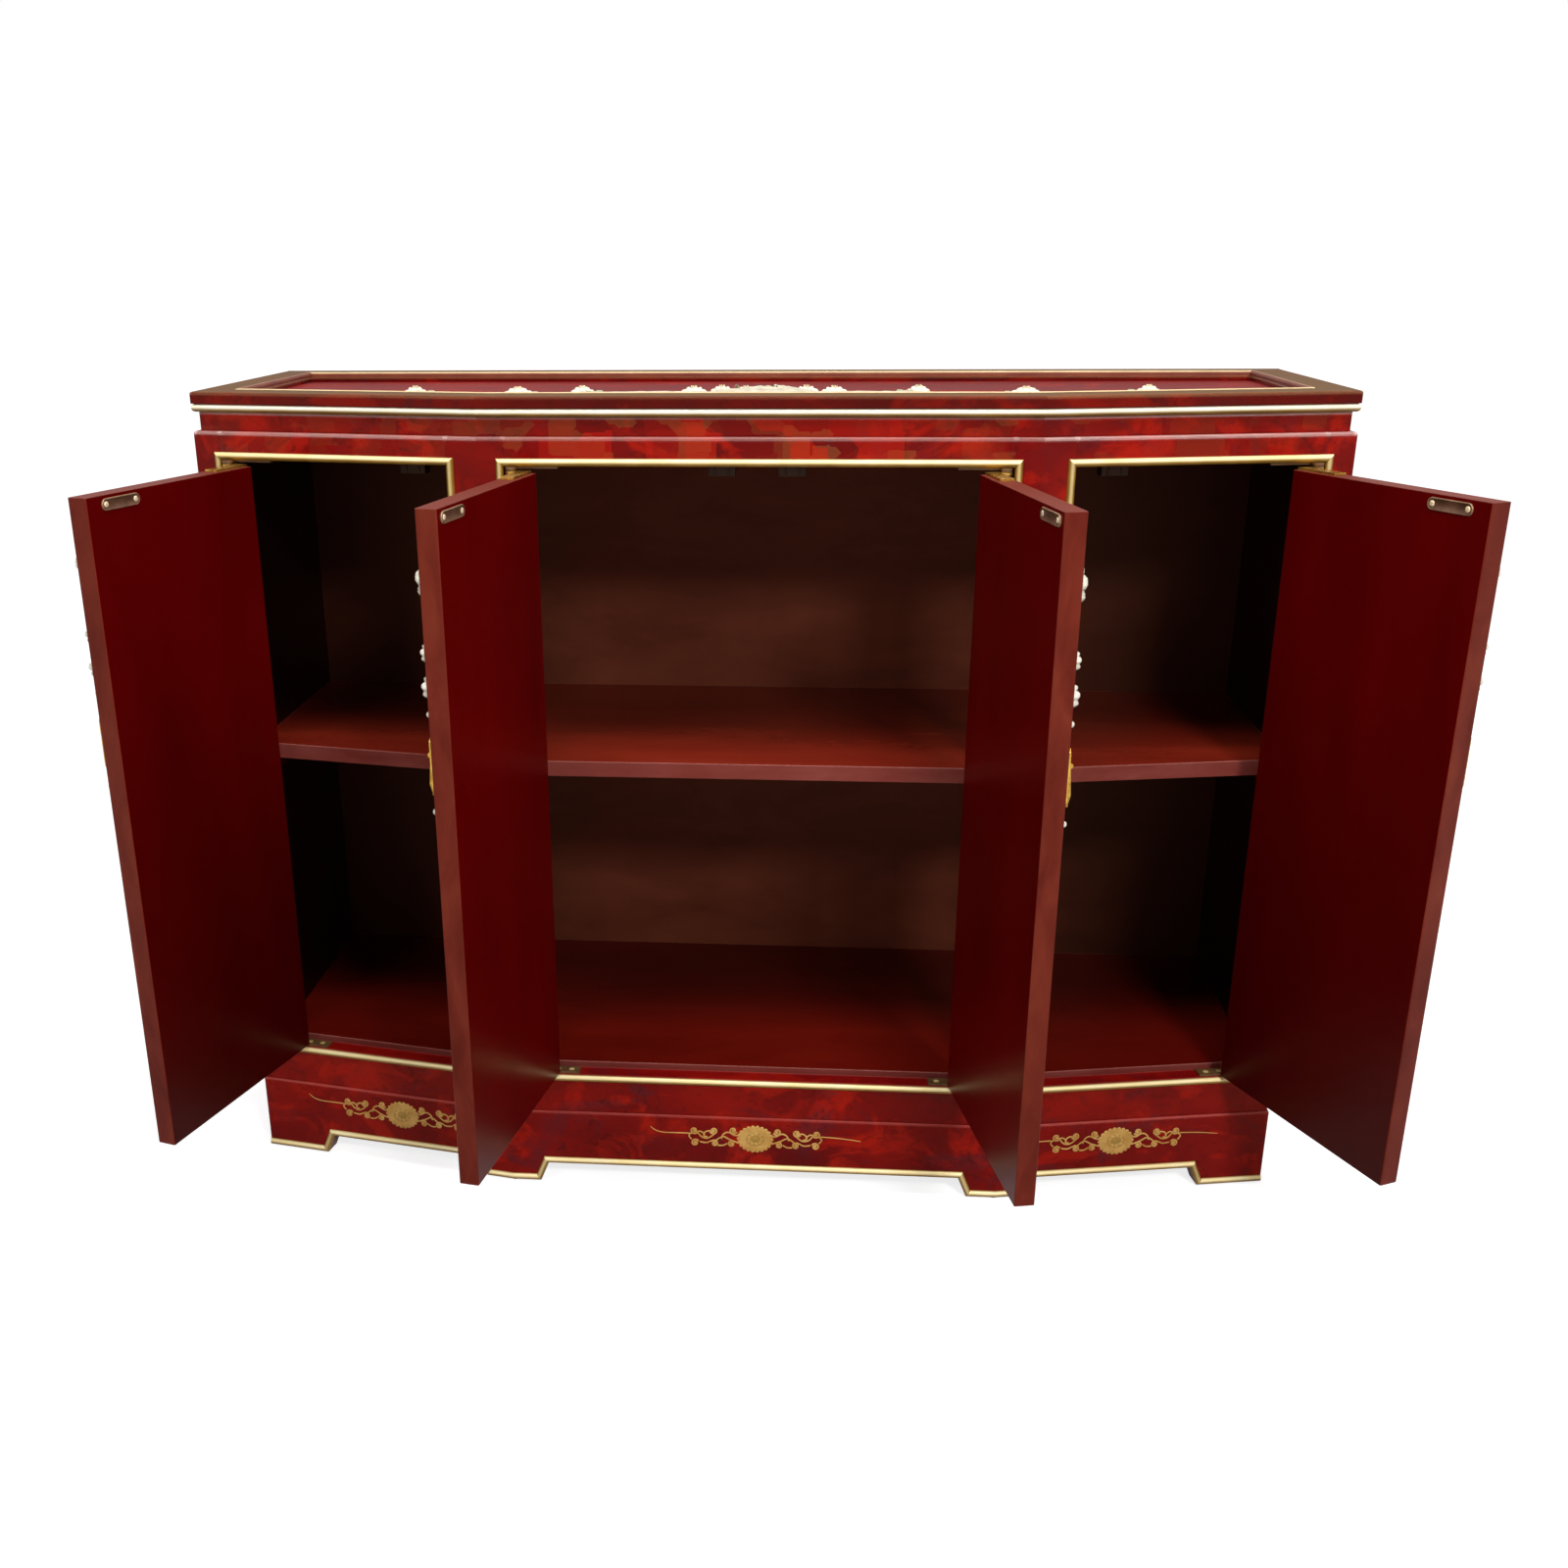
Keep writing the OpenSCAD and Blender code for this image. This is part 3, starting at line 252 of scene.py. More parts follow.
def lacquer_colour(s, stretch, leaf=0.0, blots=0.6):
    """Red lacquer over a darker ground: soft clouds, bright patches, slate blots and fine dark veins; the
    leaf share adds a painted reflection of brown and bright red patches in the middle.
    """
    cloud = s.noise(6, roughness=0.55, distortion=0.8, stretch=stretch, shift=(0, 5, 2))
    base = s.ramp(cloud, [(0.32, "580208"), (0.48, "720507"), (0.6, "860A06"), (0.75, "981506")])
    patch = s.noise(19, roughness=0.6, distortion=1.0, stretch=stretch, shift=(0, 5, 2))
    patched = s.mix(s.ramp(patch, [(0.52, 0.0), (0.62, 0.5)]), base, "B41A0A")
    blot = s.noise(15, detail=5, roughness=0.65, distortion=1.2, stretch=stretch, shift=(4, 1, 7))
    blotted = s.mix(s.ramp(blot, [(0.53, 0.0), (0.64, blots)]), patched, "4A1822")
    vein = s.noise(75, roughness=0.7, distortion=1.5, stretch=stretch, shift=(2, 3, 1))
    veined = s.mix(s.ramp(vein, [(0.3, 0.5), (0.46, 0.0)]), blotted, "2A0408")
    if not leaf:
        return veined
    # Painted reflection: brown and bright red patches in cells, full in the middle of the front and
    # weaker toward the sides.
    middle = s.shades(s.distance(s.part(s.at, "X")), leaf, leaf * 0.3, *MIDDLE_REFLECTION_SPAN)
    brown_reflection = s.times(s.ramp(s.tiles(38), [(0.45, 0.0), (0.9, 1.0)]), middle)
    glow = s.times(s.ramp(s.tiles(27), [(0.55, 0.0), (0.8, 1.0)]), middle)
    return s.mix(glow, s.mix(brown_reflection, veined, "8A4A26"), "C01408")


def red_lacquer(
    name, top_roughness=0.5, top="720507", top_share=0.4, leaf=0.0, depth=0.0, painted_arris_highlight="FFE0D8", blots=0.6,
):
    """Many coats of red lacquer, rubbed unevenly, with a painted highlight along its upper arrises and,
    by the leaf share, a painted reflection in the middle.
    """
    s = Shader(name, IOR=1.3, Specular_Tint=LACQUER_GLOSS, Specular_IOR_Level=0.6)
    stretch = (0.6, 1, 0.8)
    deep = s.mix(depth, lacquer_colour(s, stretch, leaf, blots), "2E0404")
    level = s.facing(UP)
    colour = s.mix(s.times(level, top_share), deep, top)
    # Painted highlight: a pale colour along the upper arrises, half as strong where a face looks straight
    # ahead as on the slants.
    slant = s.ramp(s.distance(s.part(s.normal, "X")), [(0.05, 0.5), (0.15, 1.0)])
    gloss = s.shades(s.noise(20, detail=3, stretch=stretch), 0.12, 0.24)
    s.set(Base_Color=s.mix(s.times(s.edges(radius=0.005), slant), colour, painted_arris_highlight))
    s.set(Roughness=s.mix(level, gloss, top_roughness))
    relief = s.noise(16, detail=2, roughness=0.4, distortion=0.2, stretch=stretch)
    s.bump(relief, distance=0.0006, strength=0.35, radius=0.0015)
    return s.material


def two_faced_board(name, inward, inside):
    """A board with red lacquer outside and near-black painted shade on the faces that look inward."""
    s = Shader(name, IOR=1.45, Specular_Tint=LACQUER_GLOSS, Specular_IOR_Level=0.4)
    inner = s.shades(s.noise(12, distortion=0.3, stretch=(1, 1, 0.3)), *inside)
    mask = s.facing(inward)
    s.set(Base_Color=s.mix(mask, lacquer_colour(s, (1, 1, 0.5)), inner))
    s.set(Roughness=s.ramp(mask, [(0, 0.15), (1, 0.35)]))
    s.bump(s.noise(16, detail=2, roughness=0.4), distance=0.0006, strength=0.3, radius=0.0015)
    return s.material


def shelf_finish(name, low, high):
    """Red-brown stain under satin varnish, with painted shade darkening it toward the back, a paler,
    duller front edge, and a painted highlight along its upper edges.
    """
    s = Shader(name, IOR=1.45, Specular_Tint=LACQUER_GLOSS, Specular_IOR_Level=0.35)
    grain = (0.3, 1, 1)
    flat = s.shades(s.noise(9, detail=5, roughness=0.6, distortion=0.4, stretch=grain), low, high)
    band = s.shades(s.noise(30, roughness=0.6, distortion=0.3, stretch=grain), "6E2A24", "82403A")
    front = s.facing(FRONT)
    # Painted shade: darker toward the back, where the boards above keep the light off.
    deep = s.mix(s.fade(s.part(s.at, "Y"), *SHELF_SHADE_SPAN, most=0.65), flat, "240402")
    colour = s.mix(front, deep, band)
    # Painted highlight along the upper edges.
    s.set(Base_Color=s.mix(s.times(s.edges(radius=0.0018), 0.8), colour, "C08078"))
    s.set(Roughness=s.ramp(front, [(0, 0.24), (1, 0.5)]))
    fine = s.noise(90, detail=3, roughness=0.6, stretch=(0.2, 1, 1))
    s.bump(fine, distance=0.0003, strength=0.25, radius=0.001)
    return s.material


def dark_finish(name, low, high, roughness=0.35, stretch=(1, 1, 1), scale=10, ends=0.0):
    """The plain finish of the boards inside, with painted shade darkening it toward the ends by a share.
    """
    s = Shader(name, Roughness=roughness, IOR=1.45, Specular_Tint=LACQUER_GLOSS, Specular_IOR_Level=0.3)
    tone = s.shades(s.noise(scale, detail=5, roughness=0.6, distortion=0.4, stretch=stretch), low, high)
    off = s.distance(s.part(s.at, "X"))
    # Painted shade: darker toward the ends, in the side bays that the doors keep dark.
    s.set(Base_Color=s.mix(s.fade(off, *END_SHADE_SPAN, most=ends), tone, "0C0201"))
    fine = s.noise(90, detail=3, roughness=0.6, stretch=stretch)
    s.bump(fine, distance=0.0003, strength=0.3, radius=0.001)
    return s.material


def door_finish(name, inward, maroon, foot):
    """Maroon inside, with painted shade darkening it toward the foot by a share, lacquer outside, rubbed,
    duller edges, and a painted highlight along the upper edges.
    """
    s = Shader(name, IOR=1.2, Specular_Tint=LACQUER_GLOSS, Specular_IOR_Level=0.8)
    outer = lacquer_colour(s, (1, 1, 0.6))
    inner = s.shades(s.noise(9, distortion=0.4, stretch=(1, 1, 0.25)), *maroon)
    wear = s.noise(30, detail=5, roughness=0.6, distortion=0.6, stretch=(1, 1, 0.4))
    rim = s.ramp(wear, [(0.3, "5A1A12"), (0.55, "6E271C"), (0.8, "7C3422")])
    mask_in = s.facing(inward)
    mask_out = s.facing(-inward)
    mask_up = s.facing(UP)
    # Painted shade: darker toward the foot.
    shaded = s.mix(s.fade(s.part(s.at, "Z"), *DOOR_SHADE_SPAN, most=foot), inner, "1A0000")
    colour = s.mix(mask_out, s.mix(mask_in, rim, shaded), outer)
    topped = s.mix(mask_up, colour, "6E3026")
    # Painted highlight along the upper edges.
    s.set(Base_Color=s.mix(s.times(s.edges(radius=0.0012), 0.5), topped, "8A4836"))
    s.set(Roughness=s.mix(mask_up, s.ramp(mask_out, [(0, 0.3), (1, 0.16)]), 0.6))
    s.bump(s.noise(20, detail=2, roughness=0.4), distance=0.0004, strength=0.3, radius=0.001)
    return s.material


def gilt(name, highlight_toward, start, stop, shaded_sides, pale, roughness=0.3):
    """Gold paint on wood, with a painted highlight, pale, on the side that faces a direction, and painted
    shade, darker, on the sides turned away.
    """
    s = Shader(name, Metallic=0.1, Roughness=roughness, IOR=1.45, Specular_IOR_Level=0.5)
    tone = s.noise(30, detail=3)
    # Painted highlight and shade: pale where the surface faces the given direction, darker where it turns
    # away.
    highlit_gilt = s.ramp(s.facing(highlight_toward, start, stop), [(0.0, 0.0), (0.4, 0.4), (1.0, 1.0)])
    s.set(Base_Color=s.mix(highlit_gilt, s.shades(tone, *shaded_sides), s.shades(tone, *pale)))
    s.bump(s.noise(60, detail=2), distance=0.0001, strength=0.15)
    return s.material


def metal(name, low, high, roughness, metallic=0.3):
    """Cast or rolled metal with a faint tarnish."""
    s = Shader(name, Metallic=metallic, IOR=1.5)
    tone = s.noise(60, detail=5, roughness=0.6)
    s.set(Base_Color=s.shades(tone, low, high, 0.35, 0.65))
    s.set(Roughness=calculated(s.tree, "ADD", s.times(tone, 0.15), roughness))
    s.bump(s.noise(240, detail=3), distance=0.0001, strength=0.3, radius=0.0004)
    return s.material


def stone(name, low, high):
    """Soft polished soapstone."""
    s = Shader(name, Roughness=0.32, IOR=1.54, Subsurface_Weight=0.15, Subsurface_Scale=0.003)
    s.set(Base_Color=s.shades(s.noise(60, detail=5, roughness=0.6, distortion=0.5), low, high))
    s.bump(s.noise(240, roughness=0.6), distance=0.0003, strength=0.4, radius=0.0005)
    return s.material


def link(name, data):
    """A new object with its data, in the scene."""
    made = bpy.data.objects.new(name, data)
    bpy.context.collection.objects.link(made)
    return made


def columns(x, y, z):
    """The turn that carries the axes to three directions."""
    return Matrix([[x[i], y[i], z[i]] for i in range(3)]).to_4x4()


def place_camera():
    """The camera of the photo."""
    yaw, tilt, roll = CAMERA_YAW, CAMERA_TILT, CAMERA_ROLL
    right = Vector((math.cos(yaw), math.sin(yaw), 0))
    ahead = Vector((-math.sin(yaw) * math.cos(tilt), math.cos(yaw) * math.cos(tilt), -math.sin(tilt)))
    up = right.cross(ahead)
    rolled_right = right * math.cos(roll) + up * math.sin(roll)
    rolled_up = up * math.cos(roll) - right * math.sin(roll)
    data = bpy.data.cameras.new("camera")
    data.lens = CAMERA_LENS
    data.sensor_width = CAMERA_SENSOR
    data.sensor_fit = "HORIZONTAL"
    data.shift_x, data.shift_y = CAMERA_SHIFT
    camera = link("camera", data)
    camera.matrix_world = Matrix.Translation(CAMERA_PLACE) @ columns(rolled_right, rolled_up, -ahead)
    bpy.context.scene.camera = camera


def seen_directly(tree, gloss=1.0):
    """1 for what the camera and glass see, a share for gloss, 0 for the light that surfaces pass on."""
    path = add_node(tree, "ShaderNodeLightPath").outputs
    glossy = calculated(tree, "MULTIPLY", path["Is Glossy Ray"], gloss)
    seen = calculated(tree, "MAXIMUM", path["Is Camera Ray"], glossy)
    return calculated(tree, "MAXIMUM", seen, path["Is Transmission Ray"])


def light_world(level):
    """A white surround for what the camera, gloss and glass see, and a softer level for the rest."""
    world = bpy.data.worlds.new("world")
    tree = empty_tree(world)
    strength = ranged(tree, seen_directly(tree), 0.0, 1.0, level)
    white = add_node(tree, "ShaderNodeBackground", {"Color": as_colour(1.0), "Strength": strength})
    add_node(tree, "ShaderNodeOutputWorld", {"Surface": white.outputs[0]})
    bpy.context.scene.world = world


def soft_lamp(name, place, aim, size, power):
    """A rectangular lamp turned toward a point."""
    data = bpy.data.lights.new(name, "AREA")
    data.shape = "RECTANGLE"
    data.size, data.size_y = size
    data.energy = power
    lamp = link(name, data)
    lamp.location = place
    lamp.rotation_euler = (Vector(aim) - Vector(place)).to_track_quat("-Z", "Y").to_euler()


# The floor: its half size in metres, its grey, and the distances over which its glow and gloss rise; the
# low glow that gloss sees near the cabinet is a painted shade round it
FLOOR_REACH = 40
FLOOR_GREY = 0.6
GLOW_RISE = (1.0, 3.0)
GLOW_NEAR = 0.8
GLOSS_RISE = (0.9, 2.5)
GLOSS_NEAR_SHADE = 0.15


def floor_paint():
    """Pale paint that keeps a shadow, and glows up to white away from the cabinet; near the cabinet, what
    gloss sees of it is dimmed as a painted shade.
    """
    material = bpy.data.materials.new("floor_paint")
    tree = empty_tree(material)
    at = add_node(tree, "ShaderNodeTexCoord").outputs["Object"]
    away = add_node(tree, "ShaderNodeVectorMath", {0: at}, operation="LENGTH").outputs["Value"]
    level = ranged(tree, away, *GLOW_RISE, GLOW_NEAR)
    gloss = ranged(tree, away, *GLOSS_RISE, GLOSS_NEAR_SHADE)
    strength = calculated(tree, "MULTIPLY", seen_directly(tree, gloss), level)
    plain = add_node(tree, "ShaderNodeBsdfDiffuse", {"Color": as_colour(FLOOR_GREY)})
    glow = add_node(tree, "ShaderNodeEmission", {"Strength": strength})
    both = add_node(tree, "ShaderNodeAddShader", {0: plain.outputs[0], 1: glow.outputs[0]})
    add_node(tree, "ShaderNodeOutputMaterial", {"Surface": both.outputs[0]})
    return material


def lay_floor():
    """A plain pale floor that keeps the cabinet's shadow."""
    mesh = bpy.data.meshes.new("floor")
    corners = [(FLOOR_REACH * x, FLOOR_REACH * y, 0) for x, y in ((-1, -1), (1, -1), (1, 1), (-1, 1))]
    mesh.from_pydata(corners, [], [(0, 1, 2, 3)])
    mesh.materials.append(floor_paint())
    link("floor", mesh)


def is_outer(side):
    """Whether a door stands in a slant."""
    return side.startswith("outer")


def door_width(side):
    """A door's width in metres."""
    return OUTER_DOOR_WIDTH if is_outer(side) else INNER_DOOR_WIDTH


def door_frame(side):
    """Rest matrix of a door: x from the opening's edge at the hinges, -y out of its front, z up."""
    if is_outer(side):
        place = (
            Matrix.Translation((-HALF_WIDTH, SIDE_Y, 0))
            @ Matrix.Rotation(-SLANT_TURN, 4, "Z")
            @ Matrix.Translation((STILE_WIDTH, 0, 0))
        )
    else:
        place = Matrix.Translation((-HALF_OPENING, FRONT_Y, 0))
    swing = (
        Matrix.Translation((PIN_IN, -PIN_OUT, 0))
        @ Matrix.Rotation(-math.radians(OPEN_DEGREES[side]), 4, "Z")
        @ Matrix.Translation((-PIN_IN, PIN_OUT, 0))
    )
    mirror = Matrix.Diagonal((-1 if side.endswith("right") else 1, 1, 1, 1))
    return mirror @ place @ swing


class Carving:
    """Raised pieces on a flat ground, in millimetres: x and y lie in the ground, z stands out of it."""

    STEM_SIDES = 8
    KNOT_DEPTH = 0.12
    KNOT_SCALE = 0.13
    # Points closer than this, in metres, become one
    WELD = 0.000005

    def __init__(self):
        self.points = []
        self.faces = []
        self.marks = []

    def add_grid(self, rows, mark, closed=False):
        """Skins rows of points that have one length; closed joins each row's ends."""
        start = len(self.points)
        width = len(rows[0])
        for row in rows:
            self.points.extend(row)
        for i in range(len(rows) - 1):
            for j in range(width if closed else width - 1):
                k = (j + 1) % width
                a = start + i * width
                b = a + width
                self.faces.append((a + j, a + k, b + k, b + j))
                self.marks.append(mark)

    def dome(self, outline, centre, height, mark, detail=None, rings=7, fullness=0.7):
        """A cushion over a closed outline; detail(turn, out) scales its height."""
        rows = []
        count = len(outline)
        for ring in range(rings + 1):
            angle = ring / rings * math.pi / 2
            out = math.cos(angle)
            rise = math.sin(angle) ** fullness
            row = []
            for j, point in enumerate(outline):
                factor = detail(j / count, out) if detail else 1
                row.append((
                    centre[0] + (point[0] - centre[0]) * out,
                    centre[1] + (point[1] - centre[1]) * out,
                    height * rise * factor,
                ))
            rows.append(row)
        self.add_grid(rows, mark, closed=True)

    def stem(self, line, widths, height, mark):
        """A half-round stem along a line of points, knotted a little."""
        rows = []
        for i, point in enumerate(line):
            before = line[max(i - 1, 0)]
            after = line[min(i + 1, len(line) - 1)]
            run = Vector((after[0] - before[0], after[1] - before[1])).normalized()
            at = Vector((point[0] * self.KNOT_SCALE, point[1] * self.KNOT_SCALE, 1.7))
            knot = 1 + self.KNOT_DEPTH * noise.noise(at)
            half = widths[i] / 2 * knot
            row = []
            for j in range(self.STEM_SIDES + 1):
                turn = math.pi * j / self.STEM_SIDES
                across = half * math.cos(turn)
                row.append((
                    point[0] - run.y * across,
                    point[1] + run.x * across,
                    height * math.sin(turn) * knot * min(1, widths[i] / widths[0] + 0.25),
                ))
            rows.append(row)
        self.add_grid(rows, mark)

    def take(self, other, mirror):
        """Takes over the pieces of another carving, mirrored across the middle by -1."""
        start = len(self.points)
        self.points.extend((mirror * x, y, z) for x, y, z in other.points)
        self.faces.extend(tuple(start + v for v in face) for face in other.faces)
        self.marks.extend(other.marks)

    def build(self, name, matrix, materials):
        """Makes one object, its points taken from millimetres through a matrix in metres."""
        mesh = bpy.data.meshes.new(name)
        place = [matrix @ (Vector(p) * MM) for p in self.points]
        mesh.from_pydata([tuple(p) for p in place], [], self.faces)
        for material in materials:
            mesh.materials.append(material)
        mesh.polygons.foreach_set("material_index", self.marks)
        mesh.polygons.foreach_set("use_smooth", [True] * len(self.faces))
        work = bmesh.new()
        work.from_mesh(mesh)
        bmesh.ops.remove_doubles(work, verts=work.verts, dist=self.WELD)
        bmesh.ops.dissolve_degenerate(work, edges=work.edges, dist=self.WELD)
        bmesh.ops.recalc_face_normals(work, faces=work.faces)
        work.to_mesh(mesh)
        work.free()
        return link(name, mesh)


# Materials of the carvings, by their place in a mesh
BLOSSOM, LEAF, WOOD, BIRD, HEART = range(5)

# Petals, as shares of the blossom's radius
PETALS = 5
PETAL_POINTS = 28
PETAL_TURN = -22
PETAL_REACH = 0.42
PETAL_OUT = 0.58
PETAL_PEAK = 0.62
NOTCH_DEPTH = 0.13
NOTCH_WIDTH = 0.28
TIER_TURN = 40

# The heart of a blossom and the buds on it, as shares of the blossom's radius and height
HEART_SIZE = 0.3
HEART_HEIGHT = 0.8
BUDS = 7
BUD_OUT = 0.2
BUD_SIZE = 0.075
BUD_HEIGHT = 0.98

# Tiers of petals, as (share of the radius, share of the height)
FLAT_TIERS = ((1, 0.85),)
EDGE_TIERS = ((1, 1),)
RAISED_TIERS = ((1, 0.45), (0.68, 0.8))

# Points along and across a leaf, its outline as shares of its length, and its veins and groove
LEAF_STEPS = 16
LEAF_SIDES = 12
LEAF_BOW = 0.8
LEAF_INSET = 0.62
VEIN_DEPTH = 0.13
VEIN_SPACING = 3.2
VEIN_SLANT = 1.4
GROOVE_DEPTH = 0.3
GROOVE_WIDTH = 0.14


def turned(point, degrees, shift=(0, 0)):
    """A point turned about the origin, then shifted."""
    angle = math.radians(degrees)
    return (
        shift[0] + point[0] * math.cos(angle) - point[1] * math.sin(angle),
        shift[1] + point[0] * math.sin(angle) + point[1] * math.cos(angle),
    )


def around(count):
    """Angles of points spread round a full turn."""
    return [2 * math.pi * j / count for j in range(count)]


def ellipse(count, wide, tall, centre=(0, 0), lean=0):
    """Points round an ellipse whose half width and half height are given."""
    return [turned((wide * math.cos(a), tall * math.sin(a)), lean, centre) for a in around(count)]


def carve_blossom(carving, centre, radius, height, turn=0, tiers=FLAT_TIERS):
    """A blossom with a tier or two of petals round a heart and its buds."""
    for size, tall in tiers:
        carve_petals(carving, centre, radius * size, height * tall, turn + TIER_TURN * size)
    heart = ellipse(24, radius * HEART_SIZE, radius * HEART_SIZE, centre)
    carving.dome(heart, centre, height * HEART_HEIGHT, HEART, rings=4)
    for place in ellipse(BUDS, radius * BUD_OUT, radius * BUD_OUT, centre, turn):
        bud = ellipse(8, radius * BUD_SIZE, radius * BUD_SIZE, place)
        carving.dome(bud, place, height * BUD_HEIGHT, HEART, rings=3)


def carve_petals(carving, centre, radius, height, turn):
    """One tier of notched, folded petals."""
    for i in range(PETALS):
        angle = turn + PETAL_TURN + 360 / PETALS * i
        outline = []
        for a in around(PETAL_POINTS):
            notch = 1 - NOTCH_DEPTH * math.exp(-((min(a, 2 * math.pi - a)) / NOTCH_WIDTH) ** 2)
            reach = radius * PETAL_REACH * notch
            point = (radius * PETAL_OUT + reach * math.cos(a), reach * math.sin(a))
            outline.append(turned(point, angle, centre))
        middle = turned((radius * PETAL_PEAK, 0), angle, centre)

        def folds(place, out):
            a = 2 * math.pi * place
            return 0.86 + 0.1 * out * math.cos(a * 9) + 0.06 * math.cos(a)

        carving.dome(outline, middle, height, BLOSSOM, folds)


def carve_leaf(carving, foot, angle, length, height):
    """A pointed leaf with a groove along its middle and veins to its sides."""
    rows = []
    for i in range(LEAF_STEPS + 1):
        x = length * i / LEAF_STEPS
        half = math.sqrt((LEAF_BOW * length) ** 2 - (x - length / 2) ** 2) - LEAF_INSET * length
        half = max(half, 0.02)
        row = []
        for j in range(LEAF_SIDES + 1):
            v = -1 + 2 * j / LEAF_SIDES
            wave = math.cos(2 * math.pi * (i / VEIN_SPACING - abs(v) * VEIN_SLANT))
            vein = 1 - VEIN_DEPTH * max(0, wave)
            groove = 1 - GROOVE_DEPTH * math.exp(-(v / GROOVE_WIDTH) ** 2)
            tall = height * (1 - v * v) ** 0.45 * vein * groove * min(1, 6 * half / length)
            row.append((*turned((x, v * half), angle, foot), tall))
        rows.append(row)
    carving.add_grid(rows, LEAF)


def carve_bird(carving, centre, length, height):
    """A small bird in flight, seen from the side; its parts are shares of its length."""
    def at(points):
        return [(centre[0] + x * length, centre[1] + y * length) for x, y in points]

    def round_part(count, radius, middle, tall, mark, rings=7):
        carving.dome(at(ellipse(count, radius, radius, middle)), at([middle])[0], tall, mark, rings=rings)

    steps = 8
    tail = []
    for i in range(steps + 1):
        t = i / steps
        row = []
        for j in range(steps + 1):
            v = j / steps
            x = -0.25 - 0.63 * t
            y = (0.1 - 0.12 * t) * (1 - v) + (-0.08 - 0.08 * t) * v
            edge = (4 * v * (1 - v)) ** 0.4
            plume = 1 - 0.25 * abs(math.sin(3 * math.pi * v))
            row.append((*at([(x, y)])[0], height * 0.6 * edge * plume))
        tail.append(row)
    carving.add_grid(tail, BIRD)
    body = []
    for a in around(40):
        lean = 0.15 * math.cos(a)
        body.append((0.02 + 0.42 * math.cos(a), 0.03 + 0.15 * math.sin(a) + 0.3 * lean))
    carving.dome(at(body), at([(0.05, 0.04)])[0], height * 0.85, BIRD)
    wing = []
    for a in around(36):
        x = 0.3 * math.cos(a)
        y = 0.13 * math.sin(a) * (1 - 0.45 * math.cos(a))
        wing.append(turned((x, y), 118, (-0.07, 0.26)))

    def feathers(place, out):
        return 0.85 + 0.15 * out * math.cos(2 * math.pi * place * 11)

    carving.dome(at(wing), at([(-0.06, 0.24)])[0], height, BIRD, feathers)
    round_part(24, 0.115, (0.36, 0.1), height * 0.95, BIRD)
    beak = [(0.44, 0.14), (0.51, 0.12), (0.58, 0.1), (0.51, 0.075), (0.44, 0.05)]
    carving.dome(at(beak), at([(0.47, 0.1)])[0], height * 0.5, HEART, rings=3)
    round_part(8, 0.018, (0.39, 0.12), height * 1.02, HEART, rings=3)


def between(start, stop, t):
    """The point at a share t of the way from one point to another."""
    return (start[0] * (1 - t) + stop[0] * t, start[1] * (1 - t) + stop[1] * t)


# Corners of the rock, as shares of its length
ROCK_CORNERS = [
    (-0.5, 0), (-0.42, 0.2), (-0.2, 0.26), (-0.12, 0.52), (0.1, 0.56),
    (0.16, 0.34), (0.38, 0.3), (0.5, 0.1), (0.44, 0),
]
ROCK_STEPS = 8
ROCK_MIDDLE = 0.17
STRATA_TURN = 6.283
RIDGES = 4
RIDGE_STEPS = 6
RIDGE_WIDTH = 0.05


def carve_rock(carving, foot, length, height):
    """A rock with strata and four ridges."""
    outline = []
    for i, corner in enumerate(ROCK_CORNERS):
        following = ROCK_CORNERS[(i + 1) % len(ROCK_CORNERS)]
        for step in range(ROCK_STEPS):
            x, y = between(corner, following, step / ROCK_STEPS)
            outline.append((foot[0] + length * x, foot[1] + length * y))
    centre = (foot[0], foot[1] + length * ROCK_MIDDLE)

    def strata(place, out):
        turn = place * STRATA_TURN
        return 0.85 + 0.3 * noise.noise(Vector((math.cos(turn) * 2.2, math.sin(turn) * 2.2, out * 3.5)))

    carving.dome(outline, centre, height, WOOD, strata, rings=12, fullness=0.8)
    for k in range(RIDGES):
        start = turned((length * (0.12 + 0.05 * k), 0), 20 + 42 * k, centre)
        stop = turned((length * (0.3 + 0.03 * (k % 2)), 0), 30 + 36 * k, centre)
        line = [between(start, stop, t / RIDGE_STEPS) for t in range(RIDGE_STEPS + 1)]
        widths = [length * RIDGE_WIDTH * (1 - 0.11 * t) for t in range(RIDGE_STEPS + 1)]
        carving.stem(line, widths, height * 1.08, WOOD)


# Branches: the same layout as the solids, in millimetres
BRANCH_TURNS = 1.3
BRANCH_STEPS = 72
TWIG_STEPS = 8
STEM_WIDTH = 6
STEM_TAPER = 0.25
TWIG_WIDTH = 0.62
TWIG_TAPER = 0.02
TWIG_BOW = 0.02
LEAF_LENGTH = 30

# The two leaves of a twig: share of the way along it, angle from it and share of the full length
TWIG_LEAVES = [(0.25, 52, 1), (0.4, -48, 0.8)]

# A door's carving; twigs are (place along the branch, side, blossom radius)
DOOR_TWIGS = [((i + 1) / 8, 1 if i % 2 == 0 else -1, 23 * (0.95 - 0.12 * (i % 3))) for i in range(8)]
DOOR_LEAN = 58
DOOR_TWIG_LENGTH = 44
DOOR_SWAY = 34
DOOR_ROCK = 110
DOOR_BRANCH_FOOT = 34
DOOR_BRANCH_RISE = 560
DOOR_BRANCH_ACROSS = 0.5
DOOR_ROCK_ACROSS = 0.52
DOOR_ROOT = 0.3
DOOR_CARVING = 5

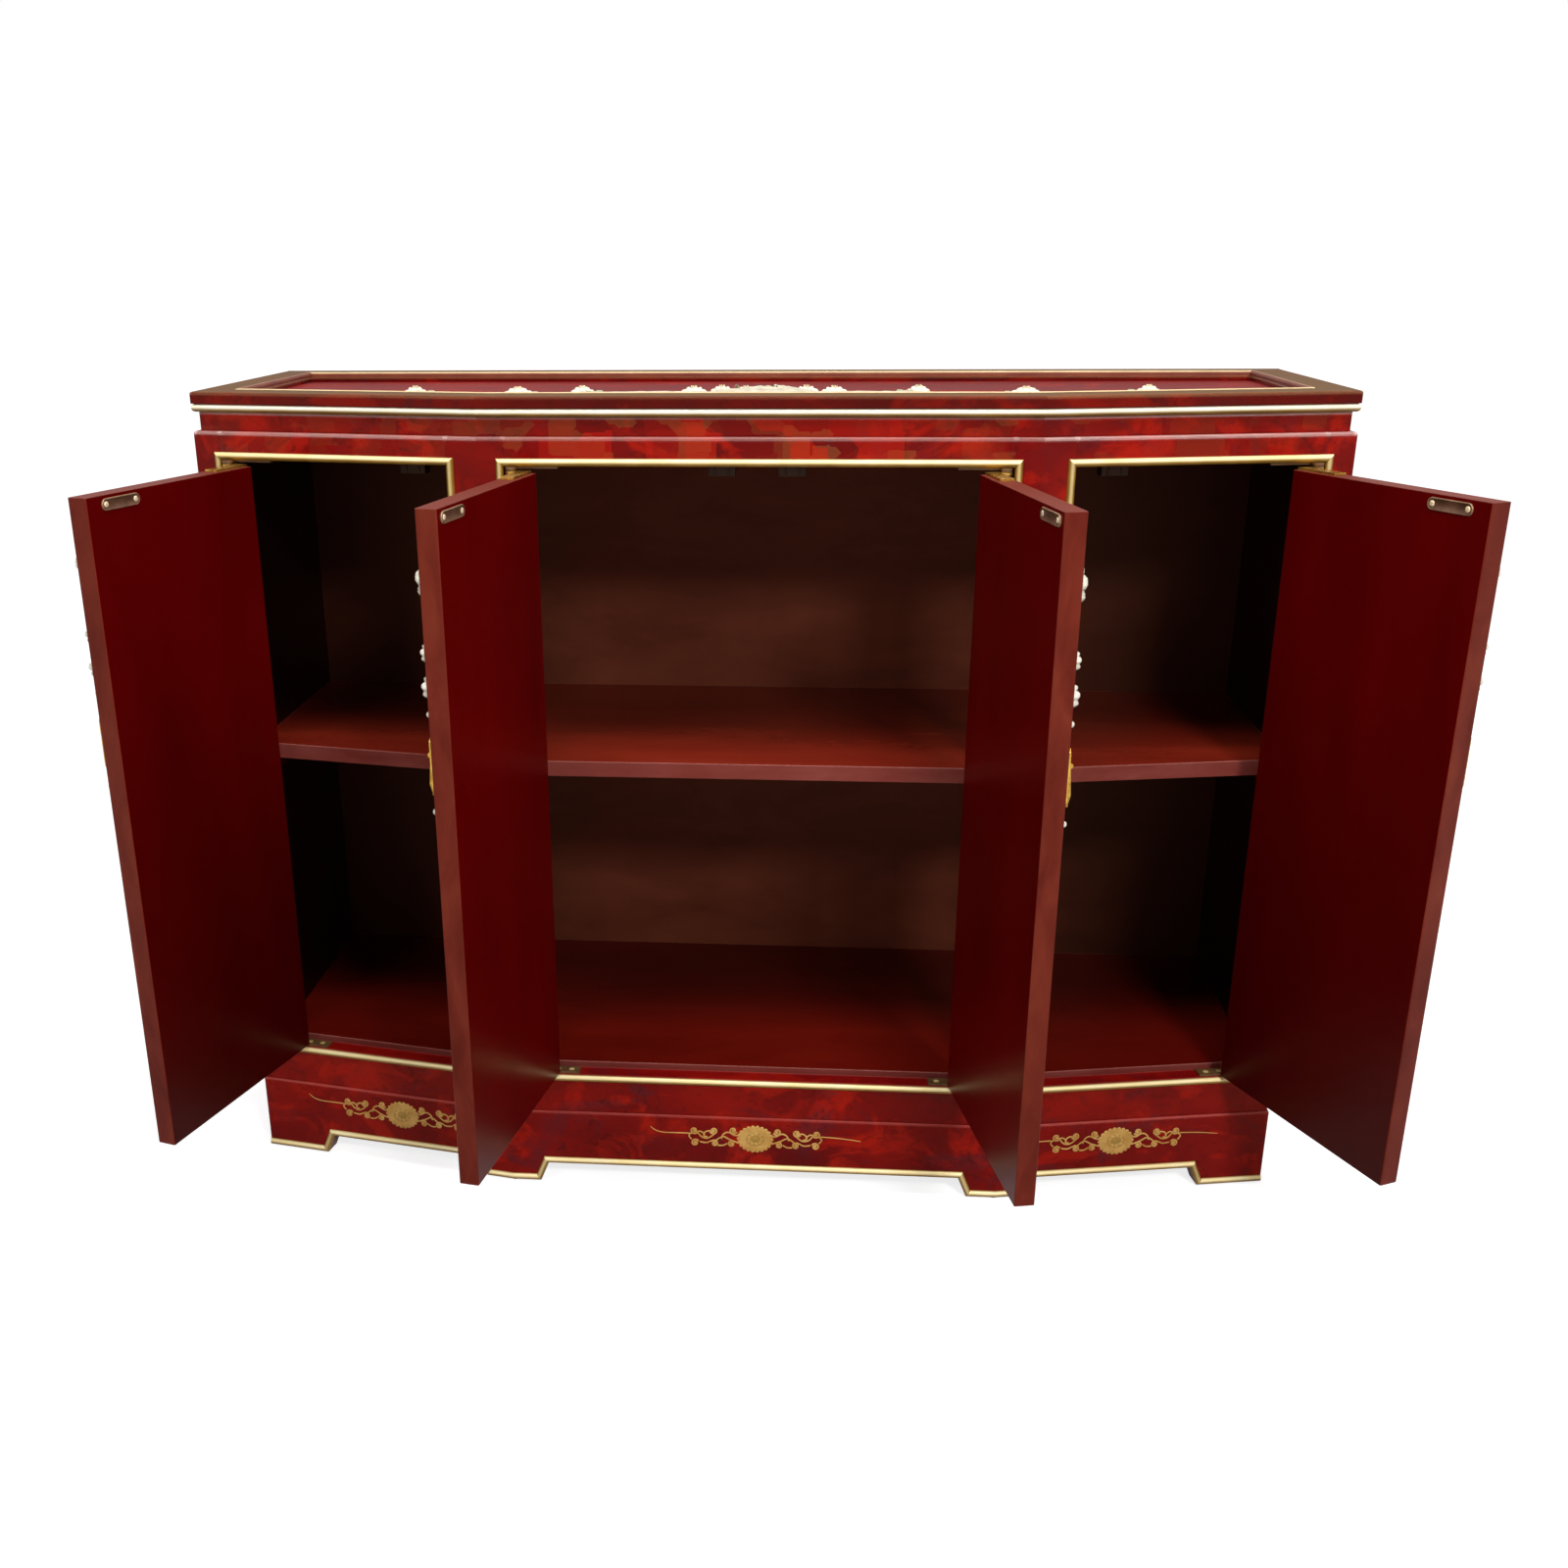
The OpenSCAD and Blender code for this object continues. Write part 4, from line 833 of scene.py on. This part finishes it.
# Birds as shares of the door's width and height; edge blossoms as (x, y, radius, height)
DOOR_BIRDS = [(0.36, 0.52), (0.42, 0.9)]
BIRD_LENGTH = 50
EDGE_BLOSSOMS = [(19, 628, 18, 7.2), (10, 561, 9, 6), (12, 528, 11, 7.6)]
EDGE_BERRIES = [(6, 503, 3.2), (6, 407, 3.2)]
BERRY_HEIGHT = 4

# The top's carving, one half; the raised twigs differ by the side of the middle, 1 right and -1 left
TOP_FOOT = (-33, -257)
TOP_RISE = (-400, 0)
TOP_SWAY = 12
TOP_LEAN = 55
TOP_TWIG_LENGTH = 52
TOP_ROCK = 132
TOP_LOW_TWIGS = [(0.16, -1, 18), (0.43, -1, 20), (0.7, -1, 17), (0.95, -1, 14)]
TOP_RAISED_TWIGS = {
    1: [(0.352, 1, 14), (0.528, 1, 17), (0.83, 1, 13)],
    -1: [(0.27, 1, 14), (0.558, 1, 17), (0.895, 1, 13)],
}
TOP_PEAKS = [(78, -213, 15), (47, -204, 14), (20, -212, 13)]
TOP_CARVING = 4.5
TOP_RAISED = 8

# The pressed strike plates, in millimetres; the profile is (inset from the rim, height)
STRIKE_LENGTH = 54
STRIKE_RADIUS = 5.9
STRIKE_PROFILE = [(0, 0), (0.1, 0.9), (0.5, 1.3), (1.0, 1.3), (1.5, 0.8), (STRIKE_RADIUS - 0.01, 0.8)]
STRIKE_RIM_ROWS = 4
STRIKE_POINTS = 48
STRIKE_SCREW = 3.1
STRIKE_SCREW_HEIGHT = 2.0
SLOT_FLOOR = 0.55
SLOT_REACH = 0.6
SLOT_ANGLE = 0.7


def spray(t, foot, rise, sway):
    """The point at a share t along a branch that sways from side to side."""
    size = math.hypot(*rise)
    shift = sway * math.sin(2 * math.pi * BRANCH_TURNS * t)
    return (
        foot[0] + t * rise[0] + shift * rise[1] / size,
        foot[1] + t * rise[1] - shift * rise[0] / size,
    )


def carve_branch(carving, foot, rise, sway, lean, reach, height, twigs):
    """A branch with twigs; a twig is (place along the branch, side, blossom radius, blossom height)."""
    line = [spray(i / BRANCH_STEPS, foot, rise, sway) for i in range(BRANCH_STEPS + 1)]
    widths = [STEM_WIDTH * (1 - STEM_TAPER * i / BRANCH_STEPS) for i in range(BRANCH_STEPS + 1)]
    carving.stem(line, widths, height * 0.9, WOOD)
    for t, side, radius, tall in twigs:
        start = spray(t, foot, rise, sway)
        turn = math.degrees(math.atan2(rise[1], rise[0])) - side * lean
        bow = []
        for k in range(TWIG_STEPS + 1):
            bend = side * TWIG_BOW * reach * math.sin(math.pi * k / TWIG_STEPS)
            bow.append(turned((reach * k / TWIG_STEPS, bend), turn, start))
        widths = [STEM_WIDTH * (TWIG_WIDTH - TWIG_TAPER * k) for k in range(TWIG_STEPS + 1)]
        carving.stem(bow, widths, height * 0.75, WOOD)
        tiers = RAISED_TIERS if tall == TOP_RAISED else FLAT_TIERS
        carve_blossom(carving, turned((reach, 0), turn, start), radius, tall, turn, tiers)
        for share, angle, length in TWIG_LEAVES:
            place = turned((reach * share, 0), turn, start)
            carve_leaf(carving, place, turn + side * angle, LEAF_LENGTH * length, height * 0.8)


def carve_door(side, materials):
    """A door's stones: a rock, a flowering branch with birds, and blossoms along the free edge."""
    width = door_width(side) / MM
    carving = Carving()
    carve_rock(carving, (width * DOOR_ROCK_ACROSS, DOOR_BRANCH_FOOT), DOOR_ROCK, DOOR_CARVING)
    foot = (width * DOOR_BRANCH_ACROSS, DOOR_BRANCH_FOOT + DOOR_ROCK * DOOR_ROOT)
    rise = (0, DOOR_BRANCH_RISE)
    twigs = [(*twig, DOOR_CARVING) for twig in DOOR_TWIGS]
    carve_branch(carving, foot, rise, DOOR_SWAY, DOOR_LEAN, DOOR_TWIG_LENGTH, DOOR_CARVING, twigs)
    for across, up in DOOR_BIRDS:
        carve_bird(carving, (width * across, DOOR_HEIGHT / MM * up), BIRD_LENGTH, DOOR_CARVING)
    for x, y, radius, height in EDGE_BLOSSOMS:
        carve_blossom(carving, (x, y), radius, height, tiers=EDGE_TIERS)
    for x, y, radius in EDGE_BERRIES:
        carving.dome(ellipse(18, radius, radius, (x, y)), (x, y), BERRY_HEIGHT, BLOSSOM, rings=5)
    free_edge = HINGE_GAP + door_width(side)
    to_door = Matrix(((-1, 0, 0, free_edge), (0, 0, -1, 0), (0, 1, 0, DOOR_FOOT), (0, 0, 0, 1)))
    piece = carving.build(f"carving_{side}", door_frame(side) @ to_door, materials)
    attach(piece, f"{side}_door")
    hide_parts(f"relief_{side}")


def stadium(half, radius, height):
    """A closed row of points round a bar with round ends."""
    row = []
    for a in around(STRIKE_POINTS):
        end = half if math.cos(a) >= 0 else -half
        row.append((end + radius * math.cos(a), radius * math.sin(a), height))
    return row


def press_strike(side, materials):
    """A pressed strike plate with a rolled rim and two domed, crossed screw heads."""
    flat, rim, screw = range(3)
    half = STRIKE_LENGTH / 2 - STRIKE_RADIUS
    plate = Carving()
    rows = [stadium(half, STRIKE_RADIUS - inset, height) for inset, height in STRIKE_PROFILE]
    plate.add_grid(rows[:STRIKE_RIM_ROWS], rim, closed=True)
    plate.add_grid(rows[STRIKE_RIM_ROWS - 1:], flat, closed=True)

    def crossed(place, out):
        return SLOT_FLOOR if out < SLOT_REACH and math.cos(8 * math.pi * place) > SLOT_ANGLE else 1

    for x in (-half, half):
        head = ellipse(32, STRIKE_SCREW, STRIKE_SCREW, (x, 0))
        plate.dome(head, (x, 0), STRIKE_SCREW_HEIGHT, screw, crossed)
    across = HINGE_GAP + door_width(side) - (OUTER_STRIKE_IN if is_outer(side) else INNER_STRIKE_IN)
    up = DOOR_FOOT + DOOR_HEIGHT - STRIKE_DROP
    to_door = Matrix(((1, 0, 0, across), (0, 0, 1, DOOR_THICKNESS), (0, 1, 0, up), (0, 0, 0, 1)))
    piece = plate.build(f"pressed_strike_{side}", door_frame(side) @ to_door, materials)
    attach(piece, f"{side}_door")
    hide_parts(f"strike_{side}")


def carve_top(materials):
    """The top's stones: a rock in the middle and a flowering branch to each side."""
    carving = Carving()
    for mirror in (1, -1):
        half = Carving()
        twigs = [(*twig, TOP_CARVING) for twig in TOP_LOW_TWIGS]
        twigs += [(*twig, TOP_RAISED) for twig in TOP_RAISED_TWIGS[mirror]]
        carve_branch(half, TOP_FOOT, TOP_RISE, TOP_SWAY, TOP_LEAN, TOP_TWIG_LENGTH, TOP_CARVING, twigs)
        for x, y, radius in TOP_PEAKS:
            carve_blossom(half, (-x, y), radius, TOP_RAISED, tiers=RAISED_TIERS)
        carving.take(half, mirror)
    carve_rock(carving, (0, TOP_FOOT[1]), TOP_ROCK, TOP_RAISED)
    piece = carving.build("carving_top", Matrix.Translation((0, 0, FIELD_HEIGHT)), materials)
    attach(piece, "carcass")
    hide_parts("top_relief")


# Painted ornament on the plinth, in millimetres: curls are (across, up, radius, turn, hand)
PAINT = 0.35
CURLS = [
    (26, 10.5, 4.6, 200, 1),
    (28, -7.5, 4.4, 150, -1),
    (48.5, -7.5, 4.4, 30, 1),
    (49.5, 9.5, 4.6, -20, -1),
    (72.5, 9, 4.6, 200, 1),
    (71.5, -7.5, 4.6, 150, -1),
]
CURL_STEPS = 33
CURL_SWEEP = 500
CURL_CLOSING = 0.72
CURL_WIDTH = 2.3
CURL_TAPER = 0.8
CURL_EYE = 1.8
CURL_EYE_HEIGHT = 1.3
STROKES = [
    [(18, 5), (24, 4), (32, 8), (38, 5), (40, -1)],
    [(20, -6), (30, -2), (38, 2), (45, -2), (48, -6)],
    [(33, -7), (38, -10), (44, -10)],
    [(46, 8), (52, 2), (58, -1), (64, 1), (68, 6)],
    [(49, 4), (54, 9), (60, 7), (61, 2), (57, 1)],
    [(60, 4), (65, 8), (70, 7)],
    [(52, -4), (58, -7), (66, -6)],
    [(75, 6), (79, 2), (76, -3)],
]
STROKE_WIDTH = 1.8
TAILS = {
    -1: [(77, 5), (92, 5), (108, 5), (116, 6.5), (121, 9), (125, 12.5)],
    1: [(77, 6), (92, 5.5), (108, 4.2), (125, 2)],
}
TAIL_WIDTH = 1.5
TAIL_TAPER = 0.9

# The medallion: half sizes, rim of petals, two discs as (size, height, material), ring of leaves, centre
MEDALLION = (21.5, 18)
RIM_PETALS = 22
RIM_PLACE = 0.81
RIM_LENGTH = 0.213
RIM_WIDTH = 2.9
RIM_HEIGHT = 1.6
DISCS = [(0.76, 1.3, 0), (0.56, 1.9, 1)]
RING_LEAVES = 9
RING_PLACE = 0.36
RING_LEAF = (3.2, 2.0)
RING_HEIGHT = 2.6
CENTRE = (3.6, 3.1)
CENTRE_HEIGHT = 3.2

# Middles of the ornaments, in metres: heights, place across, and places along the slants
MIDDLE_UP = 0.0694
MIDDLE_ACROSS = 0.0042
OUTER_UP = 0.0696
OUTER_ALONG = 0.143


def curve(before, start, stop, after, t):
    """One coordinate at a share t of the way from start to stop, on a smooth curve through four."""
    square = (2 * before - 5 * start + 4 * stop - after) * t * t
    cube = (3 * start - before - 3 * stop + after) * t ** 3
    return 0.5 * (2 * start + (stop - before) * t + square + cube)


def smooth_line(points, steps=6):
    """A smooth curve through a few points."""
    line = []
    last = len(points) - 1
    for i in range(last):
        four = [points[max(i - 1, 0)], points[i], points[i + 1], points[min(i + 2, last)]]
        for step in range(steps):
            line.append(tuple(curve(*values, step / steps) for values in zip(*four)))
    line.append(points[-1])
    return line


def paint_half(carving, side):
    """The curls, strokes and tail to one side of a medallion, 1 right and -1 left."""
    for x, y, radius, turn, hand in CURLS:
        centre = (side * x, y)
        line = []
        for step in range(CURL_STEPS + 1):
            t = step / CURL_STEPS
            angle = turn + hand * CURL_SWEEP * t
            out = radius * (1 - CURL_CLOSING * t)
            line.append(turned((out, 0), angle if side > 0 else 180 - angle, centre))
        widths = [CURL_WIDTH - CURL_TAPER * step / CURL_STEPS for step in range(CURL_STEPS + 1)]
        carving.stem(line, widths, PAINT, 0)
        carving.dome(ellipse(10, CURL_EYE, CURL_EYE, centre), centre, PAINT * CURL_EYE_HEIGHT, 0, rings=3)
    for stroke in STROKES:
        line = smooth_line([(side * x, y) for x, y in stroke])
        carving.stem(line, [STROKE_WIDTH] * len(line), PAINT, 0)
    line = smooth_line([(side * x, y) for x, y in TAILS[side]])
    carving.stem(line, [TAIL_WIDTH - TAIL_TAPER * i / len(line) for i in range(len(line))], PAINT, 0)


def paint_ornament(name, matrix, gold, shade):
    """A medallion of petals between scrolls, as thin raised paint."""
    carving = Carving()
    for side in (-1, 1):
        paint_half(carving, side)
    wide, tall = MEDALLION
    for x, y in ellipse(RIM_PETALS, wide, tall):
        middle = (RIM_PLACE * x, RIM_PLACE * y)
        lean = math.degrees(math.atan2(y, x))
        petal = ellipse(18, RIM_LENGTH * math.hypot(x, y), RIM_WIDTH, middle, lean)
        carving.dome(petal, middle, PAINT * RIM_HEIGHT, 0, rings=4)
    for size, height, mark in DISCS:
        carving.dome(ellipse(30, wide * size, tall * size), (0, 0), PAINT * height, mark, rings=4)
    for i, middle in enumerate(ellipse(RING_LEAVES, wide * RING_PLACE, tall * RING_PLACE)):
        leaf = ellipse(14, *RING_LEAF, middle, 40 * i + 60)
        carving.dome(leaf, middle, PAINT * RING_HEIGHT, 0, rings=4)
    carving.dome(ellipse(20, *CENTRE), (0, 0), PAINT * CENTRE_HEIGHT, 1, rings=4)
    piece = carving.build(name, matrix, [gold, shade])
    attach(piece, "carcass")


def wall_matrix(x, y, normal_x, normal_y, z):
    """Ground on an upright face: x to the right as seen from outside, y up, z out of the face."""
    size = math.hypot(normal_x, normal_y)
    out = Vector((normal_x / size, normal_y / size, 0))
    up = Vector(UP)
    return Matrix.Translation((x, y, z)) @ columns(up.cross(out), up, out)


def paint_plinth(gold, shade):
    """One ornament in the middle of each of the three front boards of the plinth."""
    face = FRONT_Y - PLINTH_OUT
    paint_ornament("ornament_middle", wall_matrix(MIDDLE_ACROSS, face, 0, -1, MIDDLE_UP), gold, shade)
    sine, cosine = math.sin(SLANT_TURN), math.cos(SLANT_TURN)
    for side, name in ((-1, "ornament_left"), (1, "ornament_right")):
        x = side * (HALF_MIDDLE + OUTER_ALONG * cosine + PLINTH_OUT * sine)
        y = FRONT_Y + OUTER_ALONG * sine - PLINTH_OUT * cosine
        paint_ornament(name, wall_matrix(x, y, side * sine, -cosine, OUTER_UP), gold, shade)


def dress(material, *names):
    """Gives CAD nodes one material over all their faces."""
    for name in names:
        mesh = NODES[name].data
        mesh.materials.clear()
        mesh.materials.append(material)


def dress_outside():
    """Lacquer and gilt on the boards and beads that are seen from outside."""
    low = red_lacquer("lacquer_low", painted_arris_highlight="D86A62")
    dress(low, "plinth_front", "plinth_slant_left", "plinth_slant_right", "plinth_side_left")
    dress(low, "plinth_side_right", "bottom_rail_left", "bottom_rail_mid", "bottom_rail_right")
    upright = red_lacquer("lacquer_upright", blots=0.15)
    dress(upright, "stile_left", "stile_right", "post_left", "post_right")
    # leaf: the share of a painted reflection in the middle of the neck and top rails.
    high = red_lacquer("lacquer_high", leaf=0.4, blots=0.35)
    dress(high, "neck_frieze", "top_rail_left", "top_rail_mid", "top_rail_right")
    dress(red_lacquer("lacquer_field", top_roughness=0.65), "top_panel")
    rim = red_lacquer(
        "lacquer_rim", top_roughness=0.7, top="66502E", top_share=0.75, depth=0.5, painted_arris_highlight="98704C",
    )
    dress(rim, "top_frame")
    # Directions toward which the gilt's painted highlights face: in front and above, toward the lamps.
    forward = (0, -0.8, 0.6)
    gold = gilt("gilt_bead", forward, 0.66, 0.98, ("86611A", "A27C2C"), ("FFE49E", "FFEEBC"))
    dress(gold, "plinth_bead", "opening_beads")
    pale = gilt("gilt_edge", forward, 0.5, 0.92, ("7A5A1C", "947430"), ("FFF0CC", "FFF8E4"))
    dress(pale, "top_edge_bead")
    upward = (0, -0.5, 0.866)
    highlit_gilt = gilt("gilt_inner_bead", upward, 0.8, 0.98, ("6A2412", "7C3A1C"), ("DCC08C", "ECD4A4"), 0.55)
    dress(highlit_gilt, "top_inner_bead")


def dress_inside():
    """Stain, plain finish and fittings on what is seen through the openings and from behind."""
    # Near-black painted shade for the inner faces of the sides.
    inside = ("0A0202", "120303")
    dress(two_faced_board("lacquer_side_left", Vector((1, 0, 0)), inside), "side_left")
    dress(two_faced_board("lacquer_side_right", Vector((-1, 0, 0)), inside), "side_right")
    dress(dark_finish("dark_board", "480C05", "5C160A"), "sub_top", "shelf_cleats", "plinth_blocks")
    dress(shelf_finish("shelf_stain", "701A0E", "8E2C1A"), "mid_shelf")
    dress(shelf_finish("floor_stain", "560A04", "6C140A"), "bottom_board")
    # The back is darkened toward its ends by painted shade.
    back = dark_finish(
        "back_board_finish", "4A2015", "633020", roughness=0.5, stretch=(0.4, 1, 1), scale=14, ends=0.75,
    )
    dress(back, "back_panel", "plinth_back")
    dress(metal("brass_dull", "64442A", "7C5C38", roughness=0.35, metallic=0.4), "hinge_plates")
    dress(metal("brass_screws", "D8B468", "F0D898", roughness=0.25), "frame_screws")
    dress(dark_finish("catch_plastic", "2A221C", "38302A", roughness=0.45), "magnet_catches")
    dress(dark_finish("glide_plastic", "3A3A3A", "505050", roughness=0.5), "glides")


def dress_doors(stones):
    """The doors' boards, fittings, stones and strike plates."""
    brass = metal("brass_polished", "A0742A", "D6AA50", roughness=0.2, metallic=0.85)
    plate = metal("strike_bronze", "5A3C2A", "785440", roughness=0.35, metallic=0.4)
    # The rims are a lighter copy of the plate's bronze, a painted highlight.
    rim = metal("strike_rims_painted_highlight", "86664A", "A88664", roughness=0.3, metallic=0.4)
    screws = metal("strike_screws", "E0C49A", "FBE6C4", roughness=0.22)
    for side in OPEN_DEGREES:
        inward = (door_frame(side).to_3x3() @ Vector((0, 1, 0))).normalized()
        # Painted shade at the foot: more on the outer doors, which also get a darker maroon than the
        # inner doors.
        maroon, foot = (("4C0001", "5C0102"), 0.65) if is_outer(side) else (("540001", "660102"), 0.2)
        dress(door_finish(f"door_finish_{side}", inward, maroon, foot), f"door_{side}")
        dress(brass, f"hinge_leaves_{side}", f"pull_plate_{side}", f"drop_pull_{side}")
        dress(plate, f"strike_{side}")
        dress(stones[BLOSSOM], f"relief_{side}")
        carve_door(side, stones)
        press_strike(side, [plate, rim, screws])


def dress_frame():
    """Dresses every node of the CAD frame, and adds the pieces that stand in for some."""
    dress_outside()
    dress_inside()
    cream = stone("stone_cream", "E8DDC6", "FAF4E6")
    green = stone("stone_green", "A9AE86", "C9CBA4")
    bird = stone("stone_bird", "DCCDB0", "F2E6CC")
    dress(cream, "top_relief")
    top_rock = stone("stone_rock", "B8A888", "ECE2CA")
    carve_top([cream, green, top_rock, bird, stone("stone_ivory", "D0BE94", "E4D6B2")])
    door_rock = stone("stone_brown", "8E7350", "B49A72")
    dress_doors([cream, green, door_rock, bird, stone("stone_heart", "C9A24A", "DDBB6A")])
    gold = metal("gold_paint", "B88638", "D4A65A", roughness=0.42)
    paint_plinth(gold, metal("gold_paint_dark", "9A742C", "B08A3C", roughness=0.5))


place_camera()
light_world(level=0.15)
soft_lamp("overhead", place=(0.1, -1.06, 2.4), aim=(0.08, -0.3, 0.5), size=(1.8, 0.5), power=30)
soft_lamp("front", place=(1.15, -3.0, 2.25), aim=(0.1, -0.2, 0.5), size=(0.6, 0.35), power=55)
soft_lamp("rear", place=(0.6, 3.0, 0.6), aim=(0, 0, 0.45), size=(1.6, 0.8), power=40)
soft_lamp("fill", place=(-1.6, -2.8, 2.4), aim=(0.1, -0.2, 0.5), size=(1.2, 0.8), power=18)
lay_floor()
dress_frame()

bpy.context.scene.view_settings.view_transform = "Standard"
